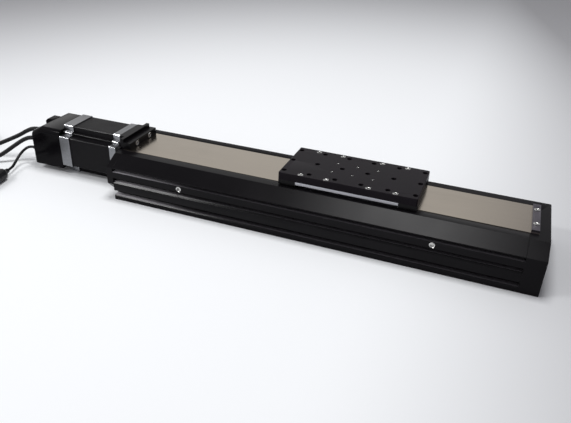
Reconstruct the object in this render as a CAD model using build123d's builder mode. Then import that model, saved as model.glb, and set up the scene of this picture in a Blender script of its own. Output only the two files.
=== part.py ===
from build123d import *

import math
import os

# Motorised linear translation stage: a ball screw inside a sealed aluminium body moves a carriage
# with a tapped top plate. Millimetres. X runs along the travel, away from the motor, Y across it
# and Z up. The origin is the centre of the body extrusion's underside.

os.makedirs("parts", exist_ok=True)

# ---- Body section -------------------------------------------------------------------------------
body_length = 400.0  # the extrusion, between the two end pieces
body_width = 107.0
body_height = 44.0  # up to the flat rims that the seal strip lies on
shoulder_run = 17.5  # width of the sloping shoulder on each side
shoulder_drop = 8.8  # height lost over the shoulder
wall = 9.0
floor = 10.0
land_height = 5.0  # machined lands under the guide rails
land_width = 18.0
cover_thickness = 5.5
groove_depth = 6.0
clamp_groove_depth = 6.5
clamp_groove = (5.2, 10.2)  # bottom and top of the toe-clamp groove
side_groove = (20.0, 24.2)
seam_groove = (31.0, 34.4)  # open seam between the extrusion and the cover rails
tongue_height = 5.0  # of the web that stands up into each cover rail
tongue_thickness = 3.0
skirt_thickness = 2.0  # of the cover rail's lip inside the web
skirt_drop = 1.0  # the lip's foot below the seam's top
fit_gap = 0.1  # between parts that slide together once, at assembly
end_block_length = 17.0
end_plate_thickness = 7.0
plate_chamfer = 17.0  # lower corners of the drive end plate

# ---- Travel -------------------------------------------------------------------------------------
travel = 250.0
travel_centre = 4.0
carriage_x = 38.0  # where the carriage stands at rest
stop_gap = 0.5  # left between a bumper and the saddle at the end of travel

# ---- Guides -------------------------------------------------------------------------------------
rail_width = 12.0
rail_height = 8.0
rail_end_gap = 2.0
rail_screw_pitch = 40.0
truck_width = 27.0
truck_length = 45.0
truck_height = 13.0  # rail foot to truck top
truck_lift = 3.0  # rail foot to truck underside
truck_spacing = 72.0
truck_wall_gap = 1.5
slide_gap = 0.3

# ---- Ball screw and bearings --------------------------------------------------------------------
screw_z = 27.6  # also the motor axis
screw_diameter = 12.0
journal_diameter = 10.0
tail_diameter = 8.0
screw_end_gap = 2.0  # from the thread's end to the idler end block
running_gap = 0.05
nut_diameter = 21.0
nut_length = 40.0
nut_flange_diameter = 30.4
nut_flange_thickness = 6.0
nut_screw_circle = 25.6
nut_screw_count = 6
bearing_diameter = 26.0  # fixed end, an angular-contact pair
bearing_width = 8.0
tail_bearing_diameter = 22.0
tail_bearing_width = 7.0
tail_bearing_inset = 1.0  # from the end block's inner face
tail_length = 11.0  # of the screw's tail beyond that face
race_thickness = 2.4
ring_gap = 0.1  # between the two bearings of the pair
bearing_setback = 51.0  # inner face of the fixed bearing pair, from the extrusion's drive end
housing_width = 30.0
housing_foot = 7.5
housing_foot_height = 8.0
housing_lip = 2.0
retainer_thickness = 2.0
locknut_width = 5.0
locknut_diameter = 18.0

# ---- Carriage -----------------------------------------------------------------------------------
plate_length = 132.0
plate_overhang = 1.0  # beyond the saddle's flange, each side
plate_thickness = 7.3
plate_top = 57.0
plate_corner = 1.5
hole_pitch = 25.0
hole_columns = 6
hole_rows = 3
tapped_m6 = 5.0  # bore diameter of a tapped M6 hole
tapped_depth = 5.2
saddle_length = 120.0
flange_length = 98.0
flange_rib = 4.6  # of the flange beside the strip
flange_thickness = 3.3
neck_gap = 0.8  # saddle neck to rim, each side
wing_inset = 1.5
channel_gap = 0.4  # nut flange to the side of the tunnel under the saddle
neck_wall = 4.1  # between that tunnel and the slot
roof_lift = 1.0  # tunnel roof above the rims
cover_gap = 1.5  # saddle wings to the underside of the cover rails
cap_lift = 0.6  # end caps above the rims
cap_ramp = 1.4  # how far the flange's ends fall away under the strip

# ---- Seal strip ---------------------------------------------------------------------------------
rim_edge = 1.0  # of each rim between the slot and its magnet
strip_thickness = 0.2
strip_side_gap = 0.4
magnet_width = 4.0
magnet_depth = 1.0
magnet_inset = 0.5  # from the strip's edge
channel_depth = 1.2  # clearance for the strip in the underside of the carriage plate
crest_half = 42.0  # the strip is level for this far each side of the carriage's middle
landing_half = 64.5  # and lies on the rims again from here
clamp_length = 6.8
block_length = 8.0  # of the block that clamps the strip's drive end
block_height = 7.3
block_screw_lift = 3.9  # its screws above the rims
hood_screw_pitch = 24.0
clamp_setback = 0.6  # from the idler end block's inner edge
ledge_margin = 1.4
clamp_margin = 1.0  # of the strip beside its clamps
clamp_height = 2.6
clamp_screw_pitch = 27.0

# ---- Motor --------------------------------------------------------------------------------------
motor_width = 55.0
motor_notch = 10.0
motor_step = 3.3  # the small square step that carries a through bolt in each notch
motor_screw_spread = (9.0, 21.0)  # of the motor's screws; the mount's are turned a quarter
pilot_diameter = 38.1
pilot_length = 1.6
shaft_diameter = 8.0
shaft_length = 21.0
mount_thickness = 6.0
hood_length = 3.5
front_bell_length = 8.0
stator_length = 51.0
stator_inset = 1.0  # laminations stand back from the bells
rear_bell_length = 12.5
encoder_length = 38.5
encoder_width = 55.0
encoder_low = 6.7
encoder_high = 50.5
encoder_slope = (13.0, 7.0)  # run and drop of the sloping rear top edge
coupling_diameter = 25.0
coupling_gap = 1.5
hub_length = 11.0
spider_length = 6.0
jaw_gap = 0.3
spider_gap = 0.2
hub_end_gap = 1.0

# ---- Screws: shank radius, head radius, head height ---------------------------------------------
m2 = (1.0, 1.9, 2.0)
m2_5 = (1.25, 2.25, 2.5)
m3 = (1.5, 2.75, 3.0)
m4 = (2.0, 3.5, 4.0)
m3_low = (1.5, 2.75, 1.6)
hole_gap = 0.1  # radial, between a screw and its hole

# ---- Sizes and places that follow from the ones above -------------------------------------------
channel_width = nut_flange_diameter + 2 * channel_gap
slot_width = channel_width + 2 * (neck_wall + neck_gap)  # the gap between the two rims
strip_width = slot_width + 2 * (rim_edge + magnet_width + magnet_inset)
flange_width = strip_width + 2 * (strip_side_gap + flange_rib)
plate_width = flange_width + 2 * plate_overhang
clamp_width = strip_width - 2 * clamp_margin
half_length = body_length / 2
half_width = body_width / 2
flat_half = half_width - shoulder_run
shoulder_foot = body_height - shoulder_drop
inner_half = half_width - wall
bearing_face_x = bearing_setback - half_length
slope = shoulder_drop / shoulder_run
slope_offset = cover_thickness * math.hypot(1, slope)  # cover thickness measured straight down
land_top = floor + land_height
rail_y = inner_half - truck_wall_gap - truck_width / 2
truck_top = land_top + truck_height
cover_underside = body_height - cover_thickness
tongue_top = seam_groove[0] + tongue_height
plate_bottom = plate_top - plate_thickness
flange_bottom = plate_bottom - flange_thickness
plate_face = -half_length - end_plate_thickness  # outer face of the drive end plate
mount_face = plate_face - mount_thickness  # where the motor's flange seats
stator_face = mount_face - front_bell_length
rear_bell_face = stator_face - stator_length
encoder_face = rear_bell_face - rear_bell_length
encoder_end = encoder_face - encoder_length
left_limit = travel_centre - travel / 2
right_limit = travel_centre + travel / 2
strip_low = body_height + strip_thickness / 2  # middle of the strip on the rims
strip_high = plate_bottom + strip_thickness / 2  # and over the saddle
roof_z = body_height + roof_lift
cover_knee = flat_half - (slope_offset - cover_thickness) / slope
mount_screw_places = [
    (s * motor_screw_spread[1], screw_z + t * motor_screw_spread[0])
    for s in (-1, 1)
    for t in (-1, 1)
]
motor_screw_places = [
    (s * motor_screw_spread[0], screw_z + t * motor_screw_spread[1])
    for s in (-1, 1)
    for t in (-1, 1)
]


def finish(piece, name):
    """Labels a finished piece and writes it."""
    piece.part.label = name
    export_step(piece.part, f"parts/{name}.step")


def screw(size, length):
    """A cap screw along Z with its seat at the origin and its head above."""
    shank, head, height = size
    with BuildPart() as one:
        Cylinder(head, height, align=(Align.CENTER, Align.CENTER, Align.MIN))
        Cylinder(shank, length, align=(Align.CENTER, Align.CENTER, Align.MAX))
    return one.part


def facing(direction, x, y, z):
    """Where a screw stands whose head points along direction."""
    return Plane(origin=(x, y, z), z_dir=direction).location


def section(points):
    """A section symmetrical about the middle, given as the corners of its +Y side."""
    Polygon(*points, *[(-y, z) for y, z in reversed(points) if y], align=None)


# ---- Body ---------------------------------------------------------------------------------------

# M4 screws hold the end pieces to the extrusion: two in each side wall, two under the rails.
wall_screw = (half_width - wall / 2, (side_groove[1] + seam_groove[0]) / 2)
floor_screw = (rail_y, land_top / 2)
end_screw_places = [(s * y, z) for s in (-1, 1) for y, z in (wall_screw, floor_screw)]
port_z = wall_screw[1]
port_places = (-124.0, 124.0)
port_radius = 3.0
port_depth = 4.0
base_hole_places = [(150.0, 25.0), (150.0, -25.0), (-150.0, 25.0), (-150.0, -25.0)]
base_hole_depth = 9.0
end_screw_seat = 2.0  # metal left under the heads of the end screws
end_screw_length = 12.0
mount_screw_seat = 2.5
mount_screw_length = 8.0
housing_near_x = bearing_face_x + housing_lip
housing_far_x = bearing_face_x - 2 * bearing_width - retainer_thickness
housing_screw_places = [
    (x, y)
    for x in (housing_near_x + housing_foot / 2, housing_far_x - housing_foot / 2)
    for y in (-housing_width / 3, housing_width / 3)
]
housing_screw_seat = floor + housing_foot_height - m3[2] - 0.5
housing_screw_length = 11.0
rail_length = body_length - 2 * rail_end_gap
rail_screw_count = int((rail_length - rail_screw_pitch / 2) // rail_screw_pitch) + 1
rail_screw_xs = [(i - (rail_screw_count - 1) / 2) * rail_screw_pitch for i in range(rail_screw_count)]
rail_screw_seat = land_top + rail_height - m3[2] - 0.4
rail_screw_length = 10.0

# The body is a U-shaped extrusion: a thick floor with a land for each rail, two grooved side
# walls, and a thin web on each wall that locates the cover rail.
with BuildPart() as base_extrusion:
    with BuildSketch(Plane.YZ.offset(-half_length)):
        section(
            [
                (0, 0),
                (half_width, 0),
                (half_width, clamp_groove[0]),
                (half_width - clamp_groove_depth, clamp_groove[0]),
                (half_width - clamp_groove_depth, clamp_groove[1]),
                (half_width, clamp_groove[1]),
                (half_width, side_groove[0]),
                (half_width - groove_depth, side_groove[0]),
                (half_width - groove_depth, side_groove[1]),
                (half_width, side_groove[1]),
                (half_width, seam_groove[0]),
                (inner_half + tongue_thickness, seam_groove[0]),
                (inner_half + tongue_thickness, tongue_top),
                (inner_half, tongue_top),
                (inner_half, floor),
                (rail_y + land_width / 2, floor),
                (rail_y + land_width / 2, land_top),
                (rail_y - land_width / 2, land_top),
                (rail_y - land_width / 2, floor),
                (0, floor),
            ]
        )
    extrude(amount=body_length)
    for end, out in ((-half_length, -1), (half_length, 1)):
        with BuildSketch(Plane.YZ.offset(end)):
            with Locations(*end_screw_places):
                Circle(m4[0] + hole_gap)
        extrude(amount=-out * end_screw_length, mode=Mode.SUBTRACT)
    with BuildSketch(Plane.XY):
        with Locations(*base_hole_places):
            Circle(tapped_m6 / 2)
    extrude(amount=base_hole_depth, mode=Mode.SUBTRACT)
    with BuildSketch(Plane.XY.offset(land_top)):
        with Locations(*[(x, s * rail_y) for x in rail_screw_xs for s in (-1, 1)]):
            Circle(m3[0] + hole_gap)
    extrude(amount=-(rail_screw_length - (rail_screw_seat - land_top)), mode=Mode.SUBTRACT)
    with BuildSketch(Plane.XY.offset(floor)):
        with Locations(*housing_screw_places):
            Circle(m3[0] + hole_gap)
    extrude(amount=-(housing_screw_length - (housing_screw_seat - floor)), mode=Mode.SUBTRACT)
    with BuildSketch(Plane.XZ.offset(half_width)):
        with Locations(*[(x, port_z) for x in port_places]):
            Circle(port_radius)
    extrude(amount=-port_depth, mode=Mode.SUBTRACT)
    with BuildSketch(Plane.XZ.offset(half_width - port_depth)):
        with Locations(*[(x, port_z) for x in port_places]):
            Circle(port_radius / 2)
    extrude(amount=-wall, mode=Mode.SUBTRACT)
finish(base_extrusion, "base_extrusion")


def cover_rail(side):
    """A cover rail hangs on the wall's web and carries the rim, the magnet strip and the shoulder."""
    magnet_out = strip_width / 2 - magnet_inset
    skirt_inside = inner_half - fit_gap - skirt_thickness
    skirt_top = body_height - slope_offset - (skirt_inside - flat_half) * slope
    with BuildPart() as rail:
        with BuildSketch(Plane.YZ.offset(-half_length)):
            Polygon(
                *[
                    (side * y, z)
                    for y, z in (
                        (half_width, seam_groove[1]),
                        (half_width, shoulder_foot),
                        (flat_half, body_height),
                        (magnet_out, body_height),
                        (magnet_out, body_height - magnet_depth),
                        (magnet_out - magnet_width, body_height - magnet_depth),
                        (magnet_out - magnet_width, body_height),
                        (slot_width / 2, body_height),
                        (slot_width / 2, cover_underside),
                        (cover_knee, cover_underside),
                        (skirt_inside, skirt_top),
                        (skirt_inside, seam_groove[1] - skirt_drop),
                        (inner_half - fit_gap, seam_groove[1] - skirt_drop),
                        (inner_half - fit_gap, tongue_top),
                        (inner_half + tongue_thickness + fit_gap, tongue_top),
                        (inner_half + tongue_thickness + fit_gap, seam_groove[1]),
                    )
                ],
                align=None,
            )
        extrude(amount=body_length)
    return rail


cover_rail_near = cover_rail(-1)
finish(cover_rail_near, "cover_rail_near")
cover_rail_far = cover_rail(1)
finish(cover_rail_far, "cover_rail_far")

# Rubber-bonded magnets let into the rims hold the seal strip down.
with BuildPart() as magnet_strips:
    with Locations(*[(0, s * (strip_width / 2 - magnet_inset - magnet_width / 2)) for s in (-1, 1)]):
        with Locations((0, 0, body_height)):
            Box(
                body_length,
                magnet_width,
                magnet_depth,
                align=(Align.CENTER, Align.CENTER, Align.MAX),
            )
finish(magnet_strips, "magnet_strips")

end_outline = [
    (half_width, 0),
    (half_width, shoulder_foot),
    (flat_half, body_height),
    (0, body_height),
]
motor_top = screw_z + motor_width / 2
hood_face = plate_face + hood_length  # the drive end's clamp block stands against it
block_face = hood_face + block_length
hood_screw_bite = 3.0
hood_screw_length = 8.0
hood_screw_places = [(s * hood_screw_pitch / 2, body_height + block_screw_lift) for s in (-1, 1)]
clamp_x = half_length + clamp_setback + clamp_length / 2
clamp_screw_places = [(clamp_x, s * clamp_screw_pitch / 2) for s in (-1, 1)]
clamp_screw_length = 8.0
clamp_bottom = body_height + strip_thickness

# The idler end block closes the free end and holds the screw's floating bearing.
with BuildPart() as idler_end_block:
    with BuildSketch(Plane.YZ.offset(half_length)):
        section([(0, 0)] + end_outline)
    extrude(amount=end_block_length)
    with BuildSketch(Plane.YZ.offset(half_length)):
        with Locations((0, screw_z)):
            Circle(tail_bearing_diameter / 2)
    extrude(amount=tail_bearing_width + tail_bearing_inset, mode=Mode.SUBTRACT)
    with BuildSketch(Plane.YZ.offset(half_length)):
        with Locations((0, screw_z)):
            Circle(tail_diameter / 2 + 2)
    extrude(amount=tail_length + 2, mode=Mode.SUBTRACT)
    with BuildSketch(Plane.YZ.offset(half_length)):
        with Locations(*end_screw_places):
            Circle(m4[0] + hole_gap)
    extrude(amount=end_block_length, mode=Mode.SUBTRACT)
    with BuildSketch(Plane.YZ.offset(half_length + end_screw_seat)):
        with Locations(*end_screw_places):
            Circle(m4[1] + hole_gap)
    extrude(amount=end_block_length, mode=Mode.SUBTRACT)
    with BuildSketch(Plane.XY.offset(body_height)):
        with Locations(*clamp_screw_places):
            Circle(m3[0] + hole_gap)
    extrude(amount=-clamp_screw_length, mode=Mode.SUBTRACT)
    chamfer(idler_end_block.faces().sort_by(Axis.X)[-1].outer_wire().edges(), 0.6)
finish(idler_end_block, "idler_end_block")

# The drive end plate has cut-off lower corners, a bore that the coupling turns in, and a ledge
# that fills the end of the slot and carries the strip clamp.
with BuildPart() as drive_end_plate:
    with BuildSketch(Plane.YZ.offset(plate_face)):
        section([(0, 0), (half_width - plate_chamfer, 0), (half_width, plate_chamfer)] + end_outline[1:])
    extrude(amount=end_plate_thickness)
    with BuildSketch(Plane.YZ.offset(-half_length)):
        with Locations((0, (cover_underside + body_height) / 2)):
            Rectangle(slot_width - 2 * fit_gap, cover_thickness)
    extrude(amount=block_face + half_length + ledge_margin)
    with BuildSketch(Plane.YZ.offset(plate_face)):
        with Locations((0, screw_z)):
            Circle(coupling_diameter / 2 + coupling_gap)
    extrude(amount=body_length / 2, mode=Mode.SUBTRACT)
    with BuildSketch(Plane.YZ.offset(plate_face)):
        with Locations(*end_screw_places, *mount_screw_places):
            Circle(m4[0] + hole_gap)
    extrude(amount=end_plate_thickness, mode=Mode.SUBTRACT)
    with BuildSketch(Plane.YZ.offset(-half_length - end_screw_seat)):
        with Locations(*end_screw_places):
            Circle(m4[1] + hole_gap)
    extrude(amount=-end_plate_thickness, mode=Mode.SUBTRACT)
    with BuildSketch(Plane.YZ.offset(plate_face + mount_screw_seat)):
        with Locations(*mount_screw_places):
            Circle(m4[1] + hole_gap)
    extrude(amount=end_plate_thickness, mode=Mode.SUBTRACT)
finish(drive_end_plate, "drive_end_plate")

end_screw = screw(m4, end_screw_length)
with BuildPart() as end_screws:
    for out in (-1, 1):
        seat = out * (half_length + end_screw_seat)
        with Locations(*[facing((out, 0, 0), seat, y, z) for y, z in end_screw_places]):
            add(end_screw)
finish(end_screws, "end_screws")

# Plugs in the near side close the grease ports.
with BuildPart() as grease_port_plugs:
    with BuildSketch(Plane.XZ.offset(half_width - port_depth)):
        with Locations(*[(x, port_z) for x in port_places]):
            Circle(port_radius)
    extrude(amount=port_depth)
    with BuildSketch(Plane.XZ.offset(half_width)):
        with Locations(*[(x, port_z) for x in port_places]):
            RegularPolygon(port_radius * 0.45, 6)
    extrude(amount=-port_depth / 2, mode=Mode.SUBTRACT)
finish(grease_port_plugs, "grease_port_plugs")


# ---- Guides -------------------------------------------------------------------------------------


def guide_rail(side):
    """A profile rail with a ball groove in each flank and counterbored holes."""
    race_low, race_high, race_depth = 2.8, 6.2, 0.7
    with BuildPart() as rail:
        with BuildSketch(Plane.YZ.offset(-rail_length / 2)):
            with Locations((side * rail_y, land_top)):
                section(
                    [
                        (0, 0),
                        (rail_width / 2, 0),
                        (rail_width / 2, race_low),
                        (rail_width / 2 - race_depth, race_low + race_depth),
                        (rail_width / 2 - race_depth, race_high - race_depth),
                        (rail_width / 2, race_high),
                        (rail_width / 2, rail_height),
                        (0, rail_height),
                    ]
                )
        extrude(amount=rail_length)
        with BuildSketch(Plane.XY.offset(land_top)):
            with Locations(*[(x, side * rail_y) for x in rail_screw_xs]):
                Circle(m3[0] + hole_gap)
        extrude(amount=rail_height, mode=Mode.SUBTRACT)
        with BuildSketch(Plane.XY.offset(rail_screw_seat)):
            with Locations(*[(x, side * rail_y) for x in rail_screw_xs]):
                Circle(m3[1] + hole_gap)
        extrude(amount=rail_height, mode=Mode.SUBTRACT)
    return rail


guide_rail_near = guide_rail(-1)
finish(guide_rail_near, "guide_rail_near")
guide_rail_far = guide_rail(1)
finish(guide_rail_far, "guide_rail_far")

rail_screw = screw(m3, rail_screw_length)
with BuildPart() as rail_screws:
    with Locations(*[(x, s * rail_y, rail_screw_seat) for x in rail_screw_xs for s in (-1, 1)]):
        add(rail_screw)
finish(rail_screws, "rail_screws")


# Four recirculating-ball trucks, two on each rail, carry the saddle.
truck_screw_seat = truck_top + 5.0
truck_screw_length = 8.0
truck_screw_places = [
    (carriage_x + a * truck_spacing / 2 + b * truck_length / 4, s * rail_y)
    for a in (-1, 1)
    for b in (-1, 1)
    for s in (-1, 1)
]
with BuildPart() as trucks:
    for place in (-truck_spacing / 2, truck_spacing / 2):
        for side in (-1, 1):
            with BuildSketch(Plane.YZ.offset(carriage_x + place - truck_length / 2)):
                with Locations((side * rail_y, land_top)):
                    section(
                        [
                            (0, rail_height + slide_gap),
                            (rail_width / 2 + slide_gap, rail_height + slide_gap),
                            (rail_width / 2 + slide_gap, truck_lift),
                            (truck_width / 2 - 1, truck_lift),
                            (truck_width / 2, truck_lift + 1),
                            (truck_width / 2, truck_height),
                            (0, truck_height),
                        ]
                    )
            extrude(amount=truck_length)
    with BuildSketch(Plane.XY.offset(truck_top)):
        with Locations(*truck_screw_places):
            Circle(m3[0] + hole_gap)
    extrude(amount=-(truck_screw_length - (truck_screw_seat - truck_top)), mode=Mode.SUBTRACT)
finish(trucks, "trucks")

# ---- Ball screw and its bearings ----------------------------------------------------------------


def turned(steps, bore=0.0):
    """A part turned about the screw's axis: (from x, to x, radius) steps, with an optional bore."""
    with BuildPart() as part:
        for start, stop, radius in steps:
            with BuildSketch(Plane.YZ.offset(start)):
                with Locations((0, screw_z)):
                    Circle(radius)
                    if bore:
                        Circle(bore, mode=Mode.SUBTRACT)
            extrude(amount=stop - start)
    return part


thread_end = half_length - screw_end_gap
tail_x = half_length + tail_bearing_inset
pair_length = 2 * bearing_width
journal_end = bearing_face_x - pair_length - 20.0  # where the screw ends inside its coupling hub
ball_screw = turned(
    [
        (journal_end, bearing_face_x, journal_diameter / 2),
        (bearing_face_x, thread_end, screw_diameter / 2),
        (thread_end, half_length + tail_length, tail_diameter / 2),
    ]
)
finish(ball_screw, "ball_screw")

with BuildPart() as bearing_housing:
    with BuildSketch(Plane.YZ.offset(housing_far_x)):
        with Locations((0, (floor + body_height) / 2)):
            Rectangle(housing_width, body_height - floor)
    extrude(amount=housing_near_x - housing_far_x)
    with BuildSketch(Plane.YZ.offset(housing_far_x - housing_foot)):
        with Locations((0, floor + housing_foot_height / 2)):
            Rectangle(housing_width, housing_foot_height)
    extrude(amount=housing_near_x - housing_far_x + 2 * housing_foot)
    with BuildSketch(Plane.YZ.offset(housing_far_x - housing_foot)):
        with Locations((0, screw_z)):
            Circle(bearing_diameter / 2)
    extrude(amount=bearing_face_x - housing_far_x + housing_foot, mode=Mode.SUBTRACT)
    with BuildSketch(Plane.YZ.offset(housing_far_x)):
        with Locations((0, screw_z)):
            Circle(locknut_diameter / 2)
    extrude(amount=body_length / 2, mode=Mode.SUBTRACT)
    with BuildSketch(Plane.XY.offset(floor)):
        with Locations(*housing_screw_places):
            Circle(m3[0] + hole_gap)
    extrude(amount=housing_foot_height, mode=Mode.SUBTRACT)
    with BuildSketch(Plane.XY.offset(housing_screw_seat)):
        with Locations(*housing_screw_places):
            Circle(m3[1] + hole_gap)
    extrude(amount=housing_foot_height, mode=Mode.SUBTRACT)
finish(bearing_housing, "bearing_housing")

housing_screw = screw(m3, housing_screw_length)
with BuildPart() as bearing_housing_screws:
    with Locations(*[(x, y, housing_screw_seat) for x, y in housing_screw_places]):
        add(housing_screw)
finish(bearing_housing_screws, "bearing_housing_screws")

# A ring pressed into the housing's bore keeps the bearing pair against the lip.
bearing_retainer = turned(
    [(housing_far_x, bearing_face_x - pair_length, bearing_diameter / 2)],
    bearing_diameter / 2 - race_thickness,
)
finish(bearing_retainer, "bearing_retainer")


fixed_bearing_xs = (bearing_face_x - pair_length, bearing_face_x - bearing_width)
pair_steps = [(x, x + bearing_width - ring_gap) for x in fixed_bearing_xs]
tail_step = (tail_x, tail_x + tail_bearing_width)

# The fixed end is an angular-contact pair, the free end one deep-groove bearing.
fixed_bearing_outer = turned(
    [(a, b, bearing_diameter / 2) for a, b in pair_steps],
    bearing_diameter / 2 - race_thickness,
)
finish(fixed_bearing_outer, "fixed_bearing_outer")
fixed_bearing_inner = turned(
    [(a, b, journal_diameter / 2 + race_thickness) for a, b in pair_steps],
    journal_diameter / 2,
)
finish(fixed_bearing_inner, "fixed_bearing_inner")
floating_bearing_outer = turned(
    [(*tail_step, tail_bearing_diameter / 2)],
    tail_bearing_diameter / 2 - race_thickness,
)
finish(floating_bearing_outer, "floating_bearing_outer")
floating_bearing_inner = turned([(*tail_step, tail_diameter / 2 + race_thickness)], tail_diameter / 2)
finish(floating_bearing_inner, "floating_bearing_inner")

cage_gap = 0.3
cage_width = 0.6  # share of the bearing's width
cage_rows = [
    (pair_steps[0][0] + bearing_width / 2, bearing_width, bearing_diameter, journal_diameter),
    (pair_steps[1][0] + bearing_width / 2, bearing_width, bearing_diameter, journal_diameter),
    (tail_x + tail_bearing_width / 2, tail_bearing_width, tail_bearing_diameter, tail_diameter),
]
# Each bearing's balls and their cage are one ring.
with BuildPart() as bearing_cages:
    for middle, width, outside, inside in cage_rows:
        with BuildSketch(Plane.YZ.offset(middle - width * cage_width / 2)):
            with Locations((0, screw_z)):
                Circle(outside / 2 - race_thickness - cage_gap)
                Circle(inside / 2 + race_thickness + cage_gap, mode=Mode.SUBTRACT)
        extrude(amount=width * cage_width)
finish(bearing_cages, "bearing_cages")

bearing_locknut = turned(
    [
        (
            fixed_bearing_xs[0] - locknut_width,
            fixed_bearing_xs[0],
            locknut_diameter / 2,
        )
    ],
    journal_diameter / 2,
)
finish(bearing_locknut, "bearing_locknut")

# ---- Coupling -----------------------------------------------------------------------------------

# A jaw coupling: three jaws on each hub stand between the six legs of a plastic spider.
coupling_radius = coupling_diameter / 2
spider_x = journal_end - hub_end_gap - spider_length
leg_half = 8.0  # degrees either side of a leg's middle
jaw_half = 30.0 - leg_half - 1.0


def sectors(middles, half_angle, inside, outside):
    """Ring sectors about the screw's axis, each given by the angle of its middle."""
    reach = 2 * outside
    for middle in middles:
        low = math.radians(middle - half_angle)
        high = math.radians(middle + half_angle)
        Polygon(
            (0, screw_z),
            (reach * math.cos(low), screw_z + reach * math.sin(low)),
            (reach * math.cos(high), screw_z + reach * math.sin(high)),
            align=None,
        )
    with Locations((0, screw_z)):
        Circle(outside, mode=Mode.INTERSECT)
        Circle(inside, mode=Mode.SUBTRACT)


def coupling_hub(x, bore, jaws_from, first):
    """A hub of the coupling with its three jaws."""
    with BuildPart() as hub:
        with BuildSketch(Plane.YZ.offset(x)):
            with Locations((0, screw_z)):
                Circle(coupling_radius)
                Circle(bore, mode=Mode.SUBTRACT)
        extrude(amount=hub_length)
        with BuildSketch(Plane.YZ.offset(jaws_from)):
            sectors([first + 120 * i for i in range(3)], jaw_half, coupling_radius / 2, coupling_radius)
        extrude(amount=spider_length - jaw_gap)
    return hub


hub_motor_x = spider_x - hub_length
coupling_hub_motor = coupling_hub(hub_motor_x, shaft_diameter / 2, spider_x, 30)
finish(coupling_hub_motor, "coupling_hub_motor")
coupling_hub_screw = coupling_hub(
    spider_x + spider_length, journal_diameter / 2, spider_x + jaw_gap, 90
)
finish(coupling_hub_screw, "coupling_hub_screw")

with BuildPart() as coupling_spider:
    with BuildSketch(Plane.YZ.offset(spider_x + spider_gap)):
        sectors([60 * i for i in range(6)], leg_half, coupling_radius / 4, coupling_radius - spider_gap)
    extrude(amount=spider_length - 2 * spider_gap)
    with BuildSketch(Plane.YZ.offset(spider_x + spider_gap)):
        with Locations((0, screw_z)):
            Circle(coupling_radius / 2 - spider_gap)
            Circle(coupling_radius / 4, mode=Mode.SUBTRACT)
    extrude(amount=spider_length - 2 * spider_gap)
finish(coupling_spider, "coupling_spider")

# ---- Motor --------------------------------------------------------------------------------------


def motor_outline(inset):
    """The motor's square frame with its four stepped corners."""
    side = motor_width - 2 * inset
    across = side - 2 * motor_notch
    with Locations((0, screw_z)):
        Rectangle(side, across)
        Rectangle(across, side)
        Rectangle(across + 2 * motor_step, across + 2 * motor_step)


motor_bearing = (11.0, 7.0)  # outer radius and width
bell_bore = shaft_diameter / 2 + 1.0
bell_clearance = 1.0
mount_bore = pilot_diameter / 2 + fit_gap
motor_screw_seat = 2.0  # metal under the heads of the motor's screws
motor_screw_length = 7.0
# The motor mount stands above the body, and its hood backs the strip's clamp at the drive end.
with BuildPart() as motor_mount:
    with BuildSketch(Plane.YZ.offset(mount_face)):
        motor_outline(0)
    extrude(amount=mount_thickness)
    with BuildSketch(Plane.YZ.offset(plate_face)):
        with Locations((0, (body_height + motor_top) / 2)):
            Rectangle(clamp_width, motor_top - body_height)
    extrude(amount=hood_length)
    with BuildSketch(Plane.YZ.offset(mount_face)):
        with Locations((0, screw_z)):
            Circle(mount_bore)
    extrude(amount=mount_thickness, mode=Mode.SUBTRACT)
    with BuildSketch(Plane.YZ.offset(mount_face)):
        with Locations(*mount_screw_places, *motor_screw_places):
            Circle(m4[0] + hole_gap)
    extrude(amount=mount_thickness, mode=Mode.SUBTRACT)
    with BuildSketch(Plane.YZ.offset(mount_face + motor_screw_seat)):
        with Locations(*motor_screw_places):
            Circle(m4[1] + hole_gap)
    extrude(amount=mount_thickness - motor_screw_seat, mode=Mode.SUBTRACT)
    with BuildSketch(Plane.YZ.offset(hood_face)):
        with Locations(*hood_screw_places):
            Circle(m3[0] + hole_gap)
    extrude(amount=-hood_screw_bite, mode=Mode.SUBTRACT)
finish(motor_mount, "motor_mount")

with BuildPart() as motor_front_bell:
    with BuildSketch(Plane.YZ.offset(stator_face)):
        motor_outline(0)
    extrude(amount=front_bell_length)
    with BuildSketch(Plane.YZ.offset(mount_face)):
        with Locations((0, screw_z)):
            Circle(pilot_diameter / 2)
    extrude(amount=pilot_length)
    with BuildSketch(Plane.YZ.offset(stator_face)):
        with Locations((0, screw_z)):
            Circle(motor_bearing[0])
    extrude(amount=motor_bearing[1], mode=Mode.SUBTRACT)
    with BuildSketch(Plane.YZ.offset(stator_face)):
        with Locations((0, screw_z)):
            Circle(bell_bore)
    extrude(amount=body_length / 2, mode=Mode.SUBTRACT)
    with BuildSketch(Plane.YZ.offset(mount_face)):
        with Locations(*motor_screw_places):
            Circle(m4[0] + hole_gap)
    extrude(amount=-(motor_screw_length - motor_screw_seat), mode=Mode.SUBTRACT)
finish(motor_front_bell, "motor_front_bell")

rotor_radius = 14.0
stator_bore = rotor_radius + 0.25
with BuildPart() as motor_stator:
    with BuildSketch(Plane.YZ.offset(rear_bell_face)):
        motor_outline(stator_inset)
        with Locations((0, screw_z)):
            Circle(stator_bore, mode=Mode.SUBTRACT)
    extrude(amount=stator_length)
finish(motor_stator, "motor_stator")

rear_seat = rear_bell_face - motor_bearing[1]
with BuildPart() as motor_rear_bell:
    with BuildSketch(Plane.YZ.offset(encoder_face)):
        motor_outline(0)
        with Locations((0, screw_z)):
            Circle(bell_bore, mode=Mode.SUBTRACT)
    extrude(amount=rear_bell_length)
    with BuildSketch(Plane.YZ.offset(rear_seat)):
        with Locations((0, screw_z)):
            Circle(motor_bearing[0])
    extrude(amount=motor_bearing[1], mode=Mode.SUBTRACT)
finish(motor_rear_bell, "motor_rear_bell")

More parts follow.
